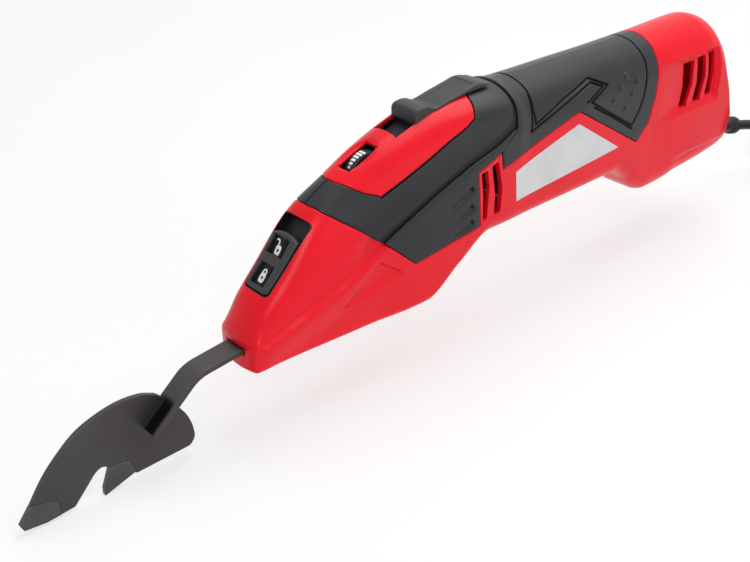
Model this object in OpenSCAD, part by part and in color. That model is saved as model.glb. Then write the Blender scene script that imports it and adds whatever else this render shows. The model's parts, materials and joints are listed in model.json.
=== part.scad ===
// Hand-held power scraper: motor, crank and sliding blade holder in a two-part moulded body.
// X runs from the blade to the cord, Y across the tool, Z up. Lengths are in millimetres.

/* [Body] */
// Length of the moulded body from nose face to rear end
body_l = 348; // [330:1:370]
// Widest width, across the collar
body_w = 49.6; // [47:0.2:56]
// Height from the nose underside to the top of the collar
body_h = 95; // [92:0.5:102]
// Thickness of a soft overmould skin
skin_t = 1.6; // [1.2:0.1:2]
// Wall of the hard shells below the skins
wall_t = 1.8; // [1.4:0.1:2.2]
// Thickness of a label plate
label_t = 0.6; // [0.4:0.1:1]
// Width of the groove between the two parts of the collar
groove_w = 2.4; // [1.6:0.1:3]
// Depth of that groove
groove_d = 0.9; // [0.5:0.1:1.1]

/* [Blade] */
// Thickness of the blade plate
plate_t = 2.4; // [2:0.1:3]
// Height of the rear tooth below the nose underside
tooth_drop = 37.5; // [34:0.5:44]
// Reach of the blade tip in front of the nose face
blade_reach = 111; // [100:1:125]
// Thickness of the bent shank
shank_t = 2.6; // [2:0.1:3]
// Width of the bent shank, as a share of the body's width
shank_w_share = 0.242; // [0.2:0.002:0.26]
// Height of the shank where it leaves the nose, as a share of the body's height
shank_z_share = 0.107; // [0.1:0.001:0.112]
// Length of shank held inside the blade holder, as a share of the body's length
shank_in_share = 0.075; // [0.06:0.001:0.085]

/* [Drive] */
// Height of the motor axis above the nose underside, as a share of the body's height
motor_z_share = 0.61; // [0.6:0.001:0.63]
// Front end of the stator stack, as a share of the body's length
stator_x_share = 0.483; // [0.478:0.001:0.488]
// Length of the stator stack, as a share of the body's length
stator_l_share = 0.12; // [0.1:0.001:0.125]
// Radius of the stator stack, as a share of the inner room
stator_r_share = 0.333; // [0.28:0.001:0.338]
// Radius of the armature core, as a share of the inner room
core_r_share = 0.198; // [0.17:0.001:0.21]
// Radius of the motor shaft, as a share of the inner room
shaft_r_share = 0.06; // [0.05:0.001:0.068]
// Radius of the commutator, as a share of the inner room
commutator_r_share = 0.14; // [0.12:0.001:0.15]
// Length of the commutator, as a share of the body's length
commutator_l_share = 0.034; // [0.026:0.001:0.036]
// Radius of the cooling fan, as a share of the inner room
fan_r_share = 0.3; // [0.24:0.001:0.34]
// Number of fan blades
fan_blades = 8; // [5:1:12]
// Radius of the pinion, as a share of the inner room
pinion_r_share = 0.1; // [0.08:0.001:0.11]
// Radius of the crown gear, as a share of the inner room
gear_r_share = 0.36; // [0.32:0.001:0.37]
// Radius of the crank pin, as a share of the inner room
pin_r_share = 0.05; // [0.04:0.001:0.056]
// Centre of the crown gear and crank, as a share of the body's length
crank_x_share = 0.333; // [0.33:0.001:0.336]
// Width of the blade holder, as a share of the body's width
holder_w_share = 0.32; // [0.28:0.002:0.33]
// Height of the blade holder, as a share of the body's height
holder_h_share = 0.105; // [0.085:0.001:0.115]
// Crank throw, half of the stroke
crank_e = 1; // [0.5:0.1:1.2]
// Air gap between armature and stator
air_gap = 0.5; // [0.3:0.1:0.8]
// Running clearance of shafts and slides
running = 0.05; // [0.02:0.01:0.1]

/* [Controls] */
// Travel of the slide switch, as a share of the body's length
switch_travel_share = 0.023; // [0.012:0.001:0.026]
// Width of the slide switch, as a share of the body's width
switch_w_share = 0.355; // [0.3:0.001:0.38]
// Length of the blade lock, as a share of the sloping nose
lock_l_share = 0.604; // [0.52:0.002:0.612]
// Width of the blade lock, as a share of the body's width
lock_w_share = 0.274; // [0.22:0.002:0.282]
// Travel of the blade lock, as a share of its length
lock_travel_share = 0.27; // [0.18:0.01:0.28]
// Radius of the speed dial, as a share of the body's height
dial_r_share = 0.116; // [0.095:0.001:0.118]
// Width of the speed dial, as a share of the body's width
dial_w_share = 0.113; // [0.08:0.001:0.12]
// Clearance round the moving controls
play = 0.5; // [0.4:0.05:0.8]

/* [Lead] */
// Diameter of the mains lead
lead_d = 6.2; // [5:0.1:7]
// Radius of the strain relief at the body
relief_r = 5; // [4.4:0.1:5.4]
// Length of the strain relief
relief_l = 43; // [34:1:48]
// Mean radius of the stored coil
coil_r = 31.6; // [31:0.1:36]
// Turns of the coil in each of its layers
coil_turns = 2; // [2:1:3]
// Layers of the coil, an odd number
coil_layers = 5; // [3:2:7]
// Gap between neighbouring turns
coil_gap = 0.6; // [0.5:0.05:1]
// Width of the flat plug body
plug_w = 26; // [24:0.5:30]
// Thickness of the flat plug body
plug_h = 14; // [12:0.5:16]
// Length of the plug with its neck
plug_l = 36; // [30:1:44]
// Radius of a plug pin
plug_pin_r = 2; // [1.8:0.1:2.4]
// Length of a plug pin
plug_pin_l = 19; // [16:0.5:20]
// Distance between the plug pins
plug_pitch = 18.6; // [17:0.2:19.4]

/* [Hidden] */
$fn = 48;
overrun = 1;
bed_sides = 24;
facing = 1 / cos(180 / bed_sides);
// Scale of the fixed places and small sizes against the body.
per_l = body_l / 348;
per_w = body_w / 49.6;
per_h = body_h / 95;
room_w = min(body_w, body_h * 49.6 / 95);
per_r = room_w / 49.6;

// Rows along the body, in thousandths: distance from the nose (of body_l), top, underside (of body_h),
// half width (of body_w), height of the widest line (of body_h), half width near the underside,
// corner radius (of body_w), then the angle where the crown stops and its squareness.
section_shares = [
  [0, 168, 0, 280, 147, 268, 40, 30, 2.8],
  [23, 321, 0, 296, 210, 276, 50, 30, 3.6],
  [57, 458, 0, 322, 270, 292, 60, 28, 4.0],
  [112, 684, 0, 363, 334, 327, 71, 26, 3.0],
  [161, 784, 0, 399, 395, 359, 81, 24, 2.5],
  [218, 874, 0, 433, 479, 391, 91, 22, 2.6],
  [276, 942, 5, 464, 568, 419, 101, 20, 2.6],
  [333, 989, 132, 488, 653, 440, 131, 16, 2.6],
  [397, 1000, 253, 500, 742, 448, 161, 10, 2.5],
  [437, 995, 251, 492, 779, 444, 161, 4, 2.3],
  [466, 983, 251, 464, 758, 435, 161, 0, 2.0],
  [592, 975, 246, 440, 753, 415, 161, 0, 2.0],
  [678, 971, 242, 419, 753, 399, 161, 0, 2.0],
  [716, 971, 168, 415, 753, 391, 181, 0, 2.0],
  [739, 971, 84, 411, 753, 383, 222, 0, 2.0],
  [761, 971, 26, 409, 753, 375, 242, 0, 2.0],
  [773, 971, 11, 412, 753, 375, 252, 0, 2.0],
  [790, 971, 11, 417, 753, 375, 252, 0, 2.0],
  [825, 973, 23, 431, 742, 383, 252, 0, 2.0],
  [885, 975, 42, 444, 737, 395, 252, 0, 2.0],
  [911, 953, 48, 442, 716, 393, 252, 0, 2.0],
  [931, 884, 55, 433, 653, 389, 252, 0, 2.0],
  [945, 779, 61, 423, 558, 383, 242, 0, 2.0],
  [960, 642, 66, 407, 463, 371, 232, 0, 2.0],
  [974, 505, 69, 379, 358, 347, 222, 0, 2.0],
  [989, 379, 73, 331, 274, 306, 181, 0, 2.0],
  [1000, 274, 84, 252, 216, 232, 101, 0, 2.0]];
last = len(section_shares) - 1;
crown_steps = 8;
corner_steps = 3;

function along(i, inset) =
  section_shares[i][0] * body_l / 1000 + (i == 0 ? inset : (i == last ? -inset : 0));
function crown_y(i, t, w) =
  w * pow(cos(t), 2 / section_shares[i][8]) / pow(cos(section_shares[i][7]), 2 / section_shares[i][8]);
function crown_part(i, t) =
  (pow(sin(t), 2 / section_shares[i][8]) - pow(sin(section_shares[i][7]), 2 / section_shares[i][8]))
  / (1 - pow(sin(section_shares[i][7]), 2 / section_shares[i][8]));
function top_z(i, inset) = section_shares[i][1] * body_h / 1000 - inset;
function low_z(i, inset) = section_shares[i][2] * body_h / 1000 + inset;
function wide_y(i, inset) = section_shares[i][3] * body_w / 1000 - inset;
function wide_z(i) = section_shares[i][4] * body_h / 1000;
function foot_y(i, inset) = section_shares[i][5] * body_w / 1000 - inset;
function corner_r(i, inset) = max(section_shares[i][6] * body_w / 1000 - inset, skin_t);

// Half of one section, from the crown to the underside, on the positive Y side.
function half_ring(i, inset, past) = concat(
  [[along(i, inset), -past, top_z(i, inset)]],
  [for (k = [0 : crown_steps])
    let (t = 90 + (section_shares[i][7] - 90) * k / crown_steps)
    [along(i, inset), crown_y(i, t, wide_y(i, inset)),
     wide_z(i) + (top_z(i, inset) - wide_z(i)) * crown_part(i, t)]],
  [for (k = [0 : corner_steps])
    let (t = 90 * k / corner_steps, r = corner_r(i, inset))
    [along(i, inset), foot_y(i, inset) - r + r * cos(t), low_z(i, inset) + r - r * sin(t)]],
  [[along(i, inset), -past, low_z(i, inset)]]);

module band(a, b) {
  ring = concat(a, b);
  hull() polyhedron(points = ring, faces = [[for (k = [0 : len(ring) - 1]) k]]);
}

// Half of the body's outside, moved in by inset; a cutting copy runs past the middle plane.
module half_body(inset, past = 0) {
  for (i = [0 : last - 1]) band(half_ring(i, inset, past), half_ring(i + 1, inset, past));
}

// Side view outlines, in thousandths of the body's length and height.
collar_shares = [[108, 730], [138, 650], [193, 480], [251, 275], [368, 328], [370, 674],
  [400, 752], [439, 826], [443, 926], [443, 1100], [108, 1100]];
grip_shares = [[404, 610], [570, 750], [722, 403], [747, 495], [757, 647], [763, 905],
  [766, 1100], [447, 1100], [447, 926], [441, 806], [404, 734]];
insert_shares = [[152, 860], [162, 778], [179, 735], [203, 680], [365, 909], [378, 946],
  [382, 1100], [152, 1100]];
label_shares = [[435, 564], [570, 680], [674, 427], [441, 387]];
groove_ends_shares = [[193, 483], [440, 827]];

function side_points(shares) = [for (s = shares) [s[0] * body_l / 1000, s[1] * body_h / 1000]];

// A side view outline made into a prism on the positive Y side, or on both sides.
module side_prism(shares, past = 0) {
  translate([0, body_w, 0]) rotate([90, 0, 0])
    linear_extrude(height = body_w + past) polygon(side_points(shares));
}

module groove_prism() {
  ends = side_points(groove_ends_shares);
  run = ends[1] - ends[0];
  translate([ends[0][0], -overrun, ends[0][1]]) rotate([0, -atan2(run[1], run[0]), 0])
    translate([0, 0, -groove_w / 2]) cube([norm(run), body_w, groove_w]);
}

module skin(shares) {
  intersection() {
    difference() {
      half_body(0);
      half_body(skin_t, overrun);
    }
    side_prism(shares);
  }
}

// Sizes of the inner pieces and the controls.
shank_w = shank_w_share * body_w;
shank_z = shank_z_share * body_h;
shank_in = shank_in_share * body_l;
motor_z = motor_z_share * body_h;
stator_x = stator_x_share * body_l;
stator_l = stator_l_share * body_l;
stator_r = stator_r_share * room_w;
core_r = core_r_share * room_w;
shaft_r = shaft_r_share * room_w;
commutator_r = commutator_r_share * room_w;
commutator_l = commutator_l_share * body_l;
fan_r = fan_r_share * room_w;
pinion_r = pinion_r_share * room_w;
gear_r = gear_r_share * room_w;
pin_r = pin_r_share * room_w;
crank_x = crank_x_share * body_l;
holder_w = holder_w_share * body_w;
holder_h = holder_h_share * body_h;
switch_travel = switch_travel_share * body_l;
switch_w = switch_w_share * body_w;
dial_r = dial_r_share * body_h;
dial_w = dial_w_share * body_w;

// Places of the inner pieces, from the nose face and the nose underside.
holder_x = 6 * per_l;
holder_end = crank_x - 20 * per_l;
riser_l = 8 * per_l;
yoke_t = 4 * per_h;
yoke_z = 22 * per_h;
yoke_w = 18 * per_w;
yoke_wall = 2.5 * per_l;
yoke_room = 2 * (crank_e + play / 2) + crank_e;
guide_l = 8 * per_l;
guide_xs = [34, 70] * per_l;
guide_wall = 3.4 * per_w;
holder_z = shank_z - holder_h / 2;
crank_gap = 1.5 * per_h;
disc_r = 9 * per_r;
disc_t = 4 * per_h;
disc_z = yoke_z + yoke_t + crank_gap;
crank_shaft_r = 4 * per_r;
frame_z = disc_z + disc_t + crank_gap;
frame_h = 12 * per_h;
frame_l = 22 * per_l;
frame_w = 24 * per_w;
gear_z = frame_z + frame_h + play;
mesh_gap = 0.3 * per_r;
gear_t = motor_z - pinion_r - mesh_gap - gear_z;
pinion_x = crank_x + 10 * per_l;
pinion_l = 8 * per_l;
bearing_l = 6 * per_l;
front_bearing_x = stator_x - 31 * per_l;
front_bearing_r = 8 * per_r;
fan_x = stator_x - 22 * per_l;
fan_l = 10 * per_l;
fan_hub_r = 5 * per_r;
fan_blade_t = 1.2 * per_r;
winding_l = 7 * per_l;
winding_r = core_r - 1.3 * per_r;
field_in_r = core_r + per_r;
field_out_r = stator_r - per_r;
commutator_x = stator_x + stator_l + winding_l + 3 * per_l;
rear_bearing_x = commutator_x + commutator_l + 8 * per_l;
rear_bearing_r = 7 * per_r;
shaft_end = rear_bearing_x + bearing_l + 2 * per_l;
brush_x = commutator_x + commutator_l / 2;
brush_size = [6 * per_l, 6 * per_r, 5 * per_r];
brush_wall = 1.5 * per_r;
brush_reach = 15.4 * per_r;
stator_rib_l = 4 * per_l;
stator_rib_in = 2 * per_l;
relief_x = 336 * per_l;
relief_z = 17 * per_h;
relief_tilt = 15;
relief_flange_r = 1.5 * relief_r;
relief_flange_l = 3 * per_l;
relief_end_r = 1.08 * relief_r;
relief_end_l = 7 * per_l;
relief_out_r = 0.92 * relief_r;
relief_end = [relief_x + relief_l * cos(relief_tilt), relief_z - relief_l * sin(relief_tilt)];
screw_shares = [[48, 40], [98, 66], [160, 31], [236, 34], [300, 24], [306, 76]];
screw_places = [for (s = screw_shares) [s[0] * per_l, s[1] * per_h]];
screw_r = 1.6 * per_w;
screw_head_r = 2 * screw_r;
screw_head_l = 3 * per_w;
screw_head_y = 12 * per_w;
screw_tip_y = -11 * per_w;
boss_r = 4.6 * per_w;
screw_play = 0.1 * per_w;
dial_x = 74.3 * per_l;
dial_y = -1.4 * per_w;
dial_z = 70.1 * per_h;
dial_axle_r = 2 * per_w;
window_x = [62.4, 78.3] * per_l;
window_w = dial_w + 4 * play;
pot_size = [12 * per_l, 5 * per_w, 8 * per_h];
pot_y = dial_y + dial_w / 2 + 2 * play;
board_size = [22 * per_l, 1.6 * per_w, 20 * per_h];
board_x = 68 * per_l;
board_z = 52 * per_h;
board_edge = 2 * per_l;
stem_x = 104 * per_l;
stem_l = 8 * per_l;
stem_w = 11 * per_w;
stem_top_share = 983;
slot_x = [stem_x - 2 * switch_travel, stem_x + stem_l + 2 * play];
slot_w = switch_w - 4 * play;
flange_z = 76.5 * per_h;
flange_t = 2 * per_h;
flange_w = switch_w + play;
flange_l = 20 * per_l;
flange_x = stem_x - 2 * per_l;
rod_l = 14 * per_l;
rod_w = 4 * per_w;
cell_x = flange_x + flange_l + rod_l + 3 * per_l;
cell_size = [20 * per_l, 10 * per_w, 11 * per_h];
lock_start = [8 * per_l, 30.5 * per_h];
lock_run = [31 * per_l, 34.4 * per_h];
lock_angle = atan2(lock_run[1], lock_run[0]);
lock_from = 0.1 * norm(lock_run);
lock_l = lock_l_share * norm(lock_run);
lock_travel = lock_travel_share * lock_l;
lock_w = lock_w_share * body_w;
lock_depth = 3 * per_h;
lock_crown_r = 16.5 * per_w;
lock_proud = 0.5 * per_h;
lock_neck_w = 9 * per_w;
lock_neck_n = 7 * per_h;
lock_plate_w = 16.6 * per_w;
lock_plate_t = 1.5 * per_h;
lock_dish_r = 14 * per_w;
lock_dish_d = per_h;
lock_dish_shares = [0.27, 0.73];
latch_size = [6 * per_l, 8 * per_w, 21 * per_h];
latch_x = 22 * per_l;
nose_room = 0.7 * per_w;

// Frame: the origin is midway along the tool, on the surface that the tooth rests on.
origin_x = (relief_end[0] + relief_end_r * sin(relief_tilt) - blade_reach) / 2;
module tool() {
  translate([-origin_x, 0, tooth_drop]) children();
}
module on_floor() {
  translate([-origin_x, 0, 0]) children();
}
module motor_axis(x) {
  translate([x, 0, motor_z]) rotate([0, 90, 0]) children();
}
module lock_frame() {
  translate([lock_start[0], 0, lock_start[1]]) rotate([0, -lock_angle, 0]) children();
}
module relief_frame() {
  translate([relief_x, 0, relief_z]) rotate([0, 90 + relief_tilt, 0]) children();
}
// A box centred on Y, from x and z.
module mid_box(x, z, size, y = 0) {
  translate([x, y - size[1] / 2, z]) cube(size);
}

// Ribs that stand in the body to hold the inner pieces.
module ribs() {
  high = 2 * body_h;
  for (x = guide_xs) mid_box(x, -overrun, [guide_l, high, holder_z + holder_h + 2 * guide_wall]);
  mid_box(crank_x - frame_l / 2, frame_z, [frame_l, high, frame_h]);
  mid_box(front_bearing_x, yoke_z, [bearing_l, high, high]);
  for (x = [stator_x + stator_rib_in, stator_x + stator_l - stator_rib_l - stator_rib_in])
    mid_box(x, 0, [stator_rib_l, high, high]);
  mid_box(rear_bearing_x, 0, [bearing_l, high, high]);
  translate([brush_x - brush_size[0] / 2, brush_reach, motor_z - brush_size[2] / 2])
    cube(brush_size + [0, high, 0]);
  translate([board_x + board_edge, pot_y + pot_size[1] + board_size[1], board_z + board_edge])
    cube([board_size[0] / 2, high, board_size[2] / 2]);
  mid_box(relief_x - relief_flange_l, 0, [2 * relief_flange_l, high, relief_z + 2 * relief_flange_r]);
  for (p = screw_places) translate([p[0], 0, p[1]]) rotate([90, 0, 0])
    cylinder(r = boss_r, h = high, center = true);
}

// Room cut in the ribs and walls for the inner pieces.
module beds() {
  for (x = guide_xs) guide_block(x);
  frame_block();
  motor_axis(front_bearing_x - overrun)
    cylinder(r = front_bearing_r * facing, h = bearing_l + 2 * overrun);
  motor_axis(rear_bearing_x - overrun)
    cylinder(r = rear_bearing_r * facing, h = bearing_l + 2 * overrun);
  motor_axis(stator_x) cylinder(r = stator_r * facing, h = stator_l);
  mid_box(cell_x, flange_z, cell_size);
  relief_frame() relief_shape(facing);
  translate([dial_x, dial_y, dial_z]) rotate([90, 0, 0])
    cylinder(r = (dial_r + 2 * play) * facing, h = window_w, center = true);
}

// Openings through the outer walls.
module wall_cuts() {
  mid_box(-overrun, shank_z - shank_t / 2 - nose_room,
    [holder_x + 2 * overrun, shank_w + 2 * nose_room, shank_t + 2 * nose_room]);
  mid_box(holder_x - overrun - crank_e, holder_z - play,
    [holder_end, holder_w + 2 * play, holder_h + 2 * play]);
  lock_frame() mid_box(lock_from - play, -lock_neck_n,
    [lock_l + lock_travel + 2 * play, lock_w + 2 * play, 2 * lock_neck_n]);
  mid_box(slot_x[0], flange_z, [slot_x[1] - slot_x[0], slot_w, body_h]);
  mid_box(window_x[0], dial_z, [window_x[1] - window_x[0], window_w, body_h], dial_y);
}

front_vent_xs = [131, 137.2] * per_l;
front_vent_zs = [[32, 59], [33, 62]] * per_h;
front_vent_w = 3.2 * per_l;
rear_vent_xs = [287.5, 296, 304.5] * per_l;
rear_vent_z = [46, 74] * per_h;
rear_vent_w = 4.4 * per_l;
vent_reach = 12 * per_w;

module vent(x, z, w) {
  translate([x, vent_reach, z[0]]) cube([w, body_w, z[1] - z[0]]);
}

// One hard shell on the positive Y side; flip is 1 for the right side and -1 for the left.
module shell(flip) {
  $fn = bed_sides;
  difference() {
    half_body(0);
    difference() {
      half_body(skin_t + wall_t, overrun);
      ribs();
    }
    difference() {
      union() {
        side_prism(collar_shares, overrun);
        side_prism(grip_shares, overrun);
      }
      half_body(skin_t, 2 * overrun);
    }
    difference() {
      side_prism(label_shares);
      half_body(label_t, overrun);
    }
    mirror([0, flip < 0 ? 1 : 0, 0]) {
      beds();
      wall_cuts();
      screw_bores();
    }
    for (k = [0, 1]) vent(front_vent_xs[k], front_vent_zs[k], front_vent_w);
    for (x = rear_vent_xs) vent(x, rear_vent_z, rear_vent_w);
  }
}

module screw_bores() {
  for (p = screw_places) translate([p[0], 0, p[1]]) rotate([-90, 0, 0]) {
    translate([0, 0, screw_tip_y])
      cylinder(r = screw_r + screw_play, h = screw_head_y - screw_tip_y + overrun);
    translate([0, 0, screw_head_y]) cylinder(r = screw_head_r + screw_play, h = body_w);
  }
}

module collar() {
  difference() {
    skin(collar_shares);
    side_prism(insert_shares, overrun);
    difference() {
      groove_prism();
      half_body(groove_d, overrun);
    }
  }
}

module insert_half() {
  skin(insert_shares);
}

module shell_left() color("Crimson") tool() mirror([0, 1, 0]) shell(-1);
module shell_right() color("Crimson") tool() shell(1);
module collar_left() color("DimGray") tool() mirror([0, 1, 0]) collar();
module collar_right() color("DimGray") tool() collar();
module grip_left() color("DimGray") tool() mirror([0, 1, 0]) skin(grip_shares);
module grip_right() color("DimGray") tool() skin(grip_shares);

module top_insert() color("Red") tool() difference() {
  union() {
    insert_half();
    mirror([0, 1, 0]) insert_half();
  }
  wall_cuts();
}

module label() {
  intersection() {
    difference() {
      half_body(0);
      half_body(label_t, overrun);
    }
    side_prism(label_shares);
  }
}
module label_left() color("Silver") tool() mirror([0, 1, 0]) label();
module label_right() color("Silver") tool() label();

// Controls on the top of the tool.
switch_shares = [[290, 966], [289, 988], [294, 1010], [302, 1020], [311, 1014], [322, 1009], [334, 1024],
  [346, 1046], [360, 1055], [372, 1056], [424, 1012], [424, 1008], [345, 1006], [330, 998], [310, 982]];

module switch_slider() color("DarkSlateGray") tool() {
  translate([0, switch_w / 2, 0]) rotate([90, 0, 0])
    linear_extrude(height = switch_w) polygon(side_points(switch_shares));
  stem_z = flange_z + flange_t;
  mid_box(stem_x, stem_z, [stem_l, stem_w, stem_top_share * body_h / 1000 - stem_z]);
}

module switch_link() color("Silver") tool() {
  mid_box(flange_x, flange_z, [flange_l, flange_w, flange_t]);
  mid_box(flange_x + flange_l, flange_z, [rod_l, rod_w, flange_t]);
}

module switch_cell() color("Black") tool() mid_box(cell_x, flange_z, cell_size);

module speed_dial() color("Black") tool() translate([dial_x, dial_y, dial_z]) rotate([90, 0, 0]) {
  cylinder(r = dial_r, h = dial_w, center = true);
  translate([0, 0, -dial_w / 2 - pot_size[1]]) cylinder(r = dial_axle_r, h = pot_size[1] + dial_w / 2);
}

module speed_pot() color("DarkGreen") tool() difference() {
  translate([dial_x - pot_size[0] / 2, pot_y, dial_z - pot_size[2] / 2]) cube(pot_size);
  translate([dial_x, pot_y, dial_z]) rotate([90, 0, 0])
    cylinder(r = dial_axle_r + running, h = 4 * pot_size[1], center = true);
}

module speed_board() color("Green") tool()
  translate([board_x, pot_y + pot_size[1], board_z]) cube(board_size);

module lock_slider() color("Black") tool() lock_frame() difference() {
  union() {
    intersection() {
      mid_box(lock_from, -lock_depth, [lock_l, lock_w, 2 * lock_depth]);
      translate([0, 0, lock_proud - lock_crown_r]) rotate([0, 90, 0])
        cylinder(r = lock_crown_r, h = lock_from + lock_l + lock_travel);
    }
    mid_box(lock_from + play, -lock_neck_n, [lock_l - 2 * play, lock_neck_w, lock_neck_n - lock_depth / 2]);
  }
  for (k = lock_dish_shares)
    translate([lock_from + lock_l * k, 0, lock_proud + lock_dish_r - lock_dish_d]) sphere(r = lock_dish_r);
}

module lock_plate() color("Silver") tool() lock_frame()
  mid_box(lock_from, -lock_neck_n - lock_plate_t, [lock_l, lock_plate_w, lock_plate_t]);

module lock_latch() color("Silver") tool() difference() {
  mid_box(latch_x, holder_z + holder_h + play, latch_size);
  lock_frame() mid_box(-body_l, -lock_neck_n - lock_plate_t, [2 * body_l, body_w, body_h]);
}

// Motor.
module stator() color("SlateGray") tool() motor_axis(stator_x) difference() {
  cylinder(r = stator_r, h = stator_l);
  translate([0, 0, -overrun]) cylinder(r = core_r + air_gap, h = stator_l + 2 * overrun);
}

module field_windings() color("Peru") tool()
  for (x = [stator_x - winding_l, stator_x + stator_l]) motor_axis(x) difference() {
    cylinder(r = field_out_r, h = winding_l);
    translate([0, 0, -overrun]) cylinder(r = field_in_r, h = winding_l + 2 * overrun);
  }

module sleeve(x, r, l) {
  motor_axis(x) difference() {
    cylinder(r = r, h = l);
    translate([0, 0, -overrun]) cylinder(r = shaft_r, h = l + 2 * overrun);
  }
}

module motor_shaft() color("Silver") tool()
  motor_axis(pinion_x) cylinder(r = shaft_r, h = shaft_end - pinion_x);
module armature_core() color("Gray") tool() sleeve(stator_x, core_r, stator_l);
module armature_windings() color("Peru") tool() {
  sleeve(stator_x - winding_l, winding_r, winding_l);
  sleeve(stator_x + stator_l, winding_r, winding_l);
}
module commutator() color("Goldenrod") tool() sleeve(commutator_x, commutator_r, commutator_l);
module pinion() color("Silver") tool() sleeve(pinion_x, pinion_r, pinion_l);

module fan() color("DarkGray") tool() {
  sleeve(fan_x, fan_hub_r, fan_l);
  motor_axis(fan_x) for (k = [0 : fan_blades - 1]) rotate([0, 0, 360 * k / fan_blades])
    translate([fan_hub_r - fan_blade_t / 2, -fan_blade_t / 2, 0])
      cube([fan_r - fan_hub_r, fan_blade_t, fan_l]);
}

module bush(x, r) {
  motor_axis(x) difference() {
    cylinder(r = r, h = bearing_l);
    translate([0, 0, -overrun]) cylinder(r = shaft_r + running, h = bearing_l + 2 * overrun);
  }
}
module bearing_front() color("Goldenrod") tool() bush(front_bearing_x, front_bearing_r);
module bearing_rear() color("Goldenrod") tool() bush(rear_bearing_x, rear_bearing_r);

module both_sides() {
  children();
  mirror([0, 1, 0]) children();
}

module brush_box(grow, from) {
  translate([brush_x - brush_size[0] / 2 - grow, from, motor_z - brush_size[2] / 2 - grow])
    cube([brush_size[0] + 2 * grow, brush_reach - brush_wall - from, brush_size[2] + 2 * grow]);
}
module brushes() color("DimGray") tool() both_sides()
  brush_box(0, commutator_r + running);
module brush_holders() color("Goldenrod") tool() both_sides() difference() {
  translate([0, brush_wall, 0]) brush_box(brush_wall, commutator_r + brush_wall);
  brush_box(0, 0);
}

// Crank drive and blade holder.
module crown_gear() color("Silver") tool() translate([crank_x, 0, gear_z]) difference() {
  cylinder(r = gear_r, h = gear_t);
  translate([0, 0, -overrun]) cylinder(r = crank_shaft_r, h = gear_t + 2 * overrun);
}

module crank() color("Silver") tool() translate([crank_x, 0, 0]) {
  translate([0, 0, disc_z]) cylinder(r = disc_r, h = disc_t);
  translate([0, 0, disc_z + disc_t]) cylinder(r = crank_shaft_r, h = gear_z + gear_t - disc_z - disc_t);
  translate([crank_e, 0, yoke_z - overrun]) cylinder(r = pin_r, h = disc_z - yoke_z + overrun);
}

module frame_block() {
  mid_box(crank_x - frame_l / 2, frame_z, [frame_l, frame_w, frame_h]);
}
module gear_frame() color("LightSlateGray") tool() difference() {
  frame_block();
  translate([crank_x, 0, frame_z - overrun])
    cylinder(r = crank_shaft_r + running, h = frame_h + 2 * overrun);
}

module guide_block(x) {
  mid_box(x, holder_z - guide_wall / 2, [guide_l, holder_w + 2 * guide_wall, holder_h + guide_wall]);
}
module guide(x) {
  difference() {
    guide_block(x);
    mid_box(x - overrun, holder_z - running,
      [guide_l + 2 * overrun, holder_w + 2 * running, holder_h + 2 * running]);
  }
}
module guide_front() color("Goldenrod") tool() guide(guide_xs[0]);
module guide_rear() color("Goldenrod") tool() guide(guide_xs[1]);

module blade_holder() color("Gray") tool() {
  slot_half = pin_r + yoke_room + play;
  yoke_end = crank_x + slot_half + yoke_wall;
  difference() {
    union() {
      mid_box(holder_x, holder_z, [holder_end - holder_x, holder_w, holder_h]);
      mid_box(holder_end - riser_l, holder_z, [riser_l, holder_w, yoke_z + yoke_t - holder_z]);
      mid_box(holder_end - riser_l, yoke_z, [yoke_end - holder_end + riser_l, yoke_w, yoke_t]);
    }
    mid_box(holder_x - overrun, shank_z - shank_t / 2, [shank_in + overrun, shank_w, shank_t]);
    mid_box(crank_x - slot_half, yoke_z - overrun,
      [2 * slot_half, 2 * (pin_r + crank_e + play), yoke_t + 2 * overrun]);
  }
}

// Blade. Outlines are in thousandths of the reach and of the tooth's drop below the nose underside.
plate_shares = [[-947, -656], [-885, -408], [-820, -213], [-732, -13], [-643, 91], [-541, 144], [-448, 120],
  [-396, 61], [-359, -16], [-277, -320], [-241, -541], [-230, -763], [-247, -861], [-262, -888],
  [-505, -904], [-530, -668], [-614, -643], [-645, -595], [-676, -629], [-710, -731], [-779, -944],
  [-836, -955], [-842, -733]];
front_tip_shares = [[-1000, -851], [-989, -931], [-899, -965], [-836, -955], [-842, -733], [-947, -656]];
rear_tip_shares = [[-505, -904], [-516, -880], [-653, -1000], [-651, -904], [-614, -643], [-530, -668]];

module blade_part(shares) {
  translate([0, shank_w / 2, 0]) rotate([90, 0, 0]) linear_extrude(height = plate_t)
    polygon([for (s = shares) [s[0] * blade_reach / 1000, s[1] * tooth_drop / 1000]]);
}
module blade_plate() color("DimGray") tool() blade_part(plate_shares);
module front_tip() color("Gray") tool() blade_part(front_tip_shares);
module rear_tip() color("Gray") tool() blade_part(rear_tip_shares);

shank_bends_shares = [[0, 0], [-231, -70], [-450, -604]];
module blade_shank() color("DimGray") tool() {
  bends = [for (s = shank_bends_shares) [s[0] * blade_reach / 1000, shank_z + s[1] * tooth_drop / 1000]];
  half = shank_t / 2;
  slope = bends[2] - bends[1];
  off = half * [slope[1], -slope[0]] / norm(slope);
  difference() {
    translate([0, shank_w / 2, 0]) rotate([90, 0, 0]) linear_extrude(height = shank_w)
      polygon([[holder_x + shank_in, shank_z - half], [holder_x + shank_in, shank_z + half],
        bends[0] + [0, half], bends[1] + [0, half], bends[2] + off, bends[2] - off,
        bends[1] - [0, half], bends[0] - [0, half]]);
    blade_part(plate_shares);
  }
}

module shell_screws() color("Silver") tool() for (p = screw_places)
  translate([p[0], 0, p[1]]) rotate([-90, 0, 0]) {
    translate([0, 0, screw_tip_y]) cylinder(r = screw_r, h = screw_head_y - screw_tip_y);
    translate([0, 0, screw_head_y]) cylinder(r = screw_head_r, h = screw_head_l);
  }

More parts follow.
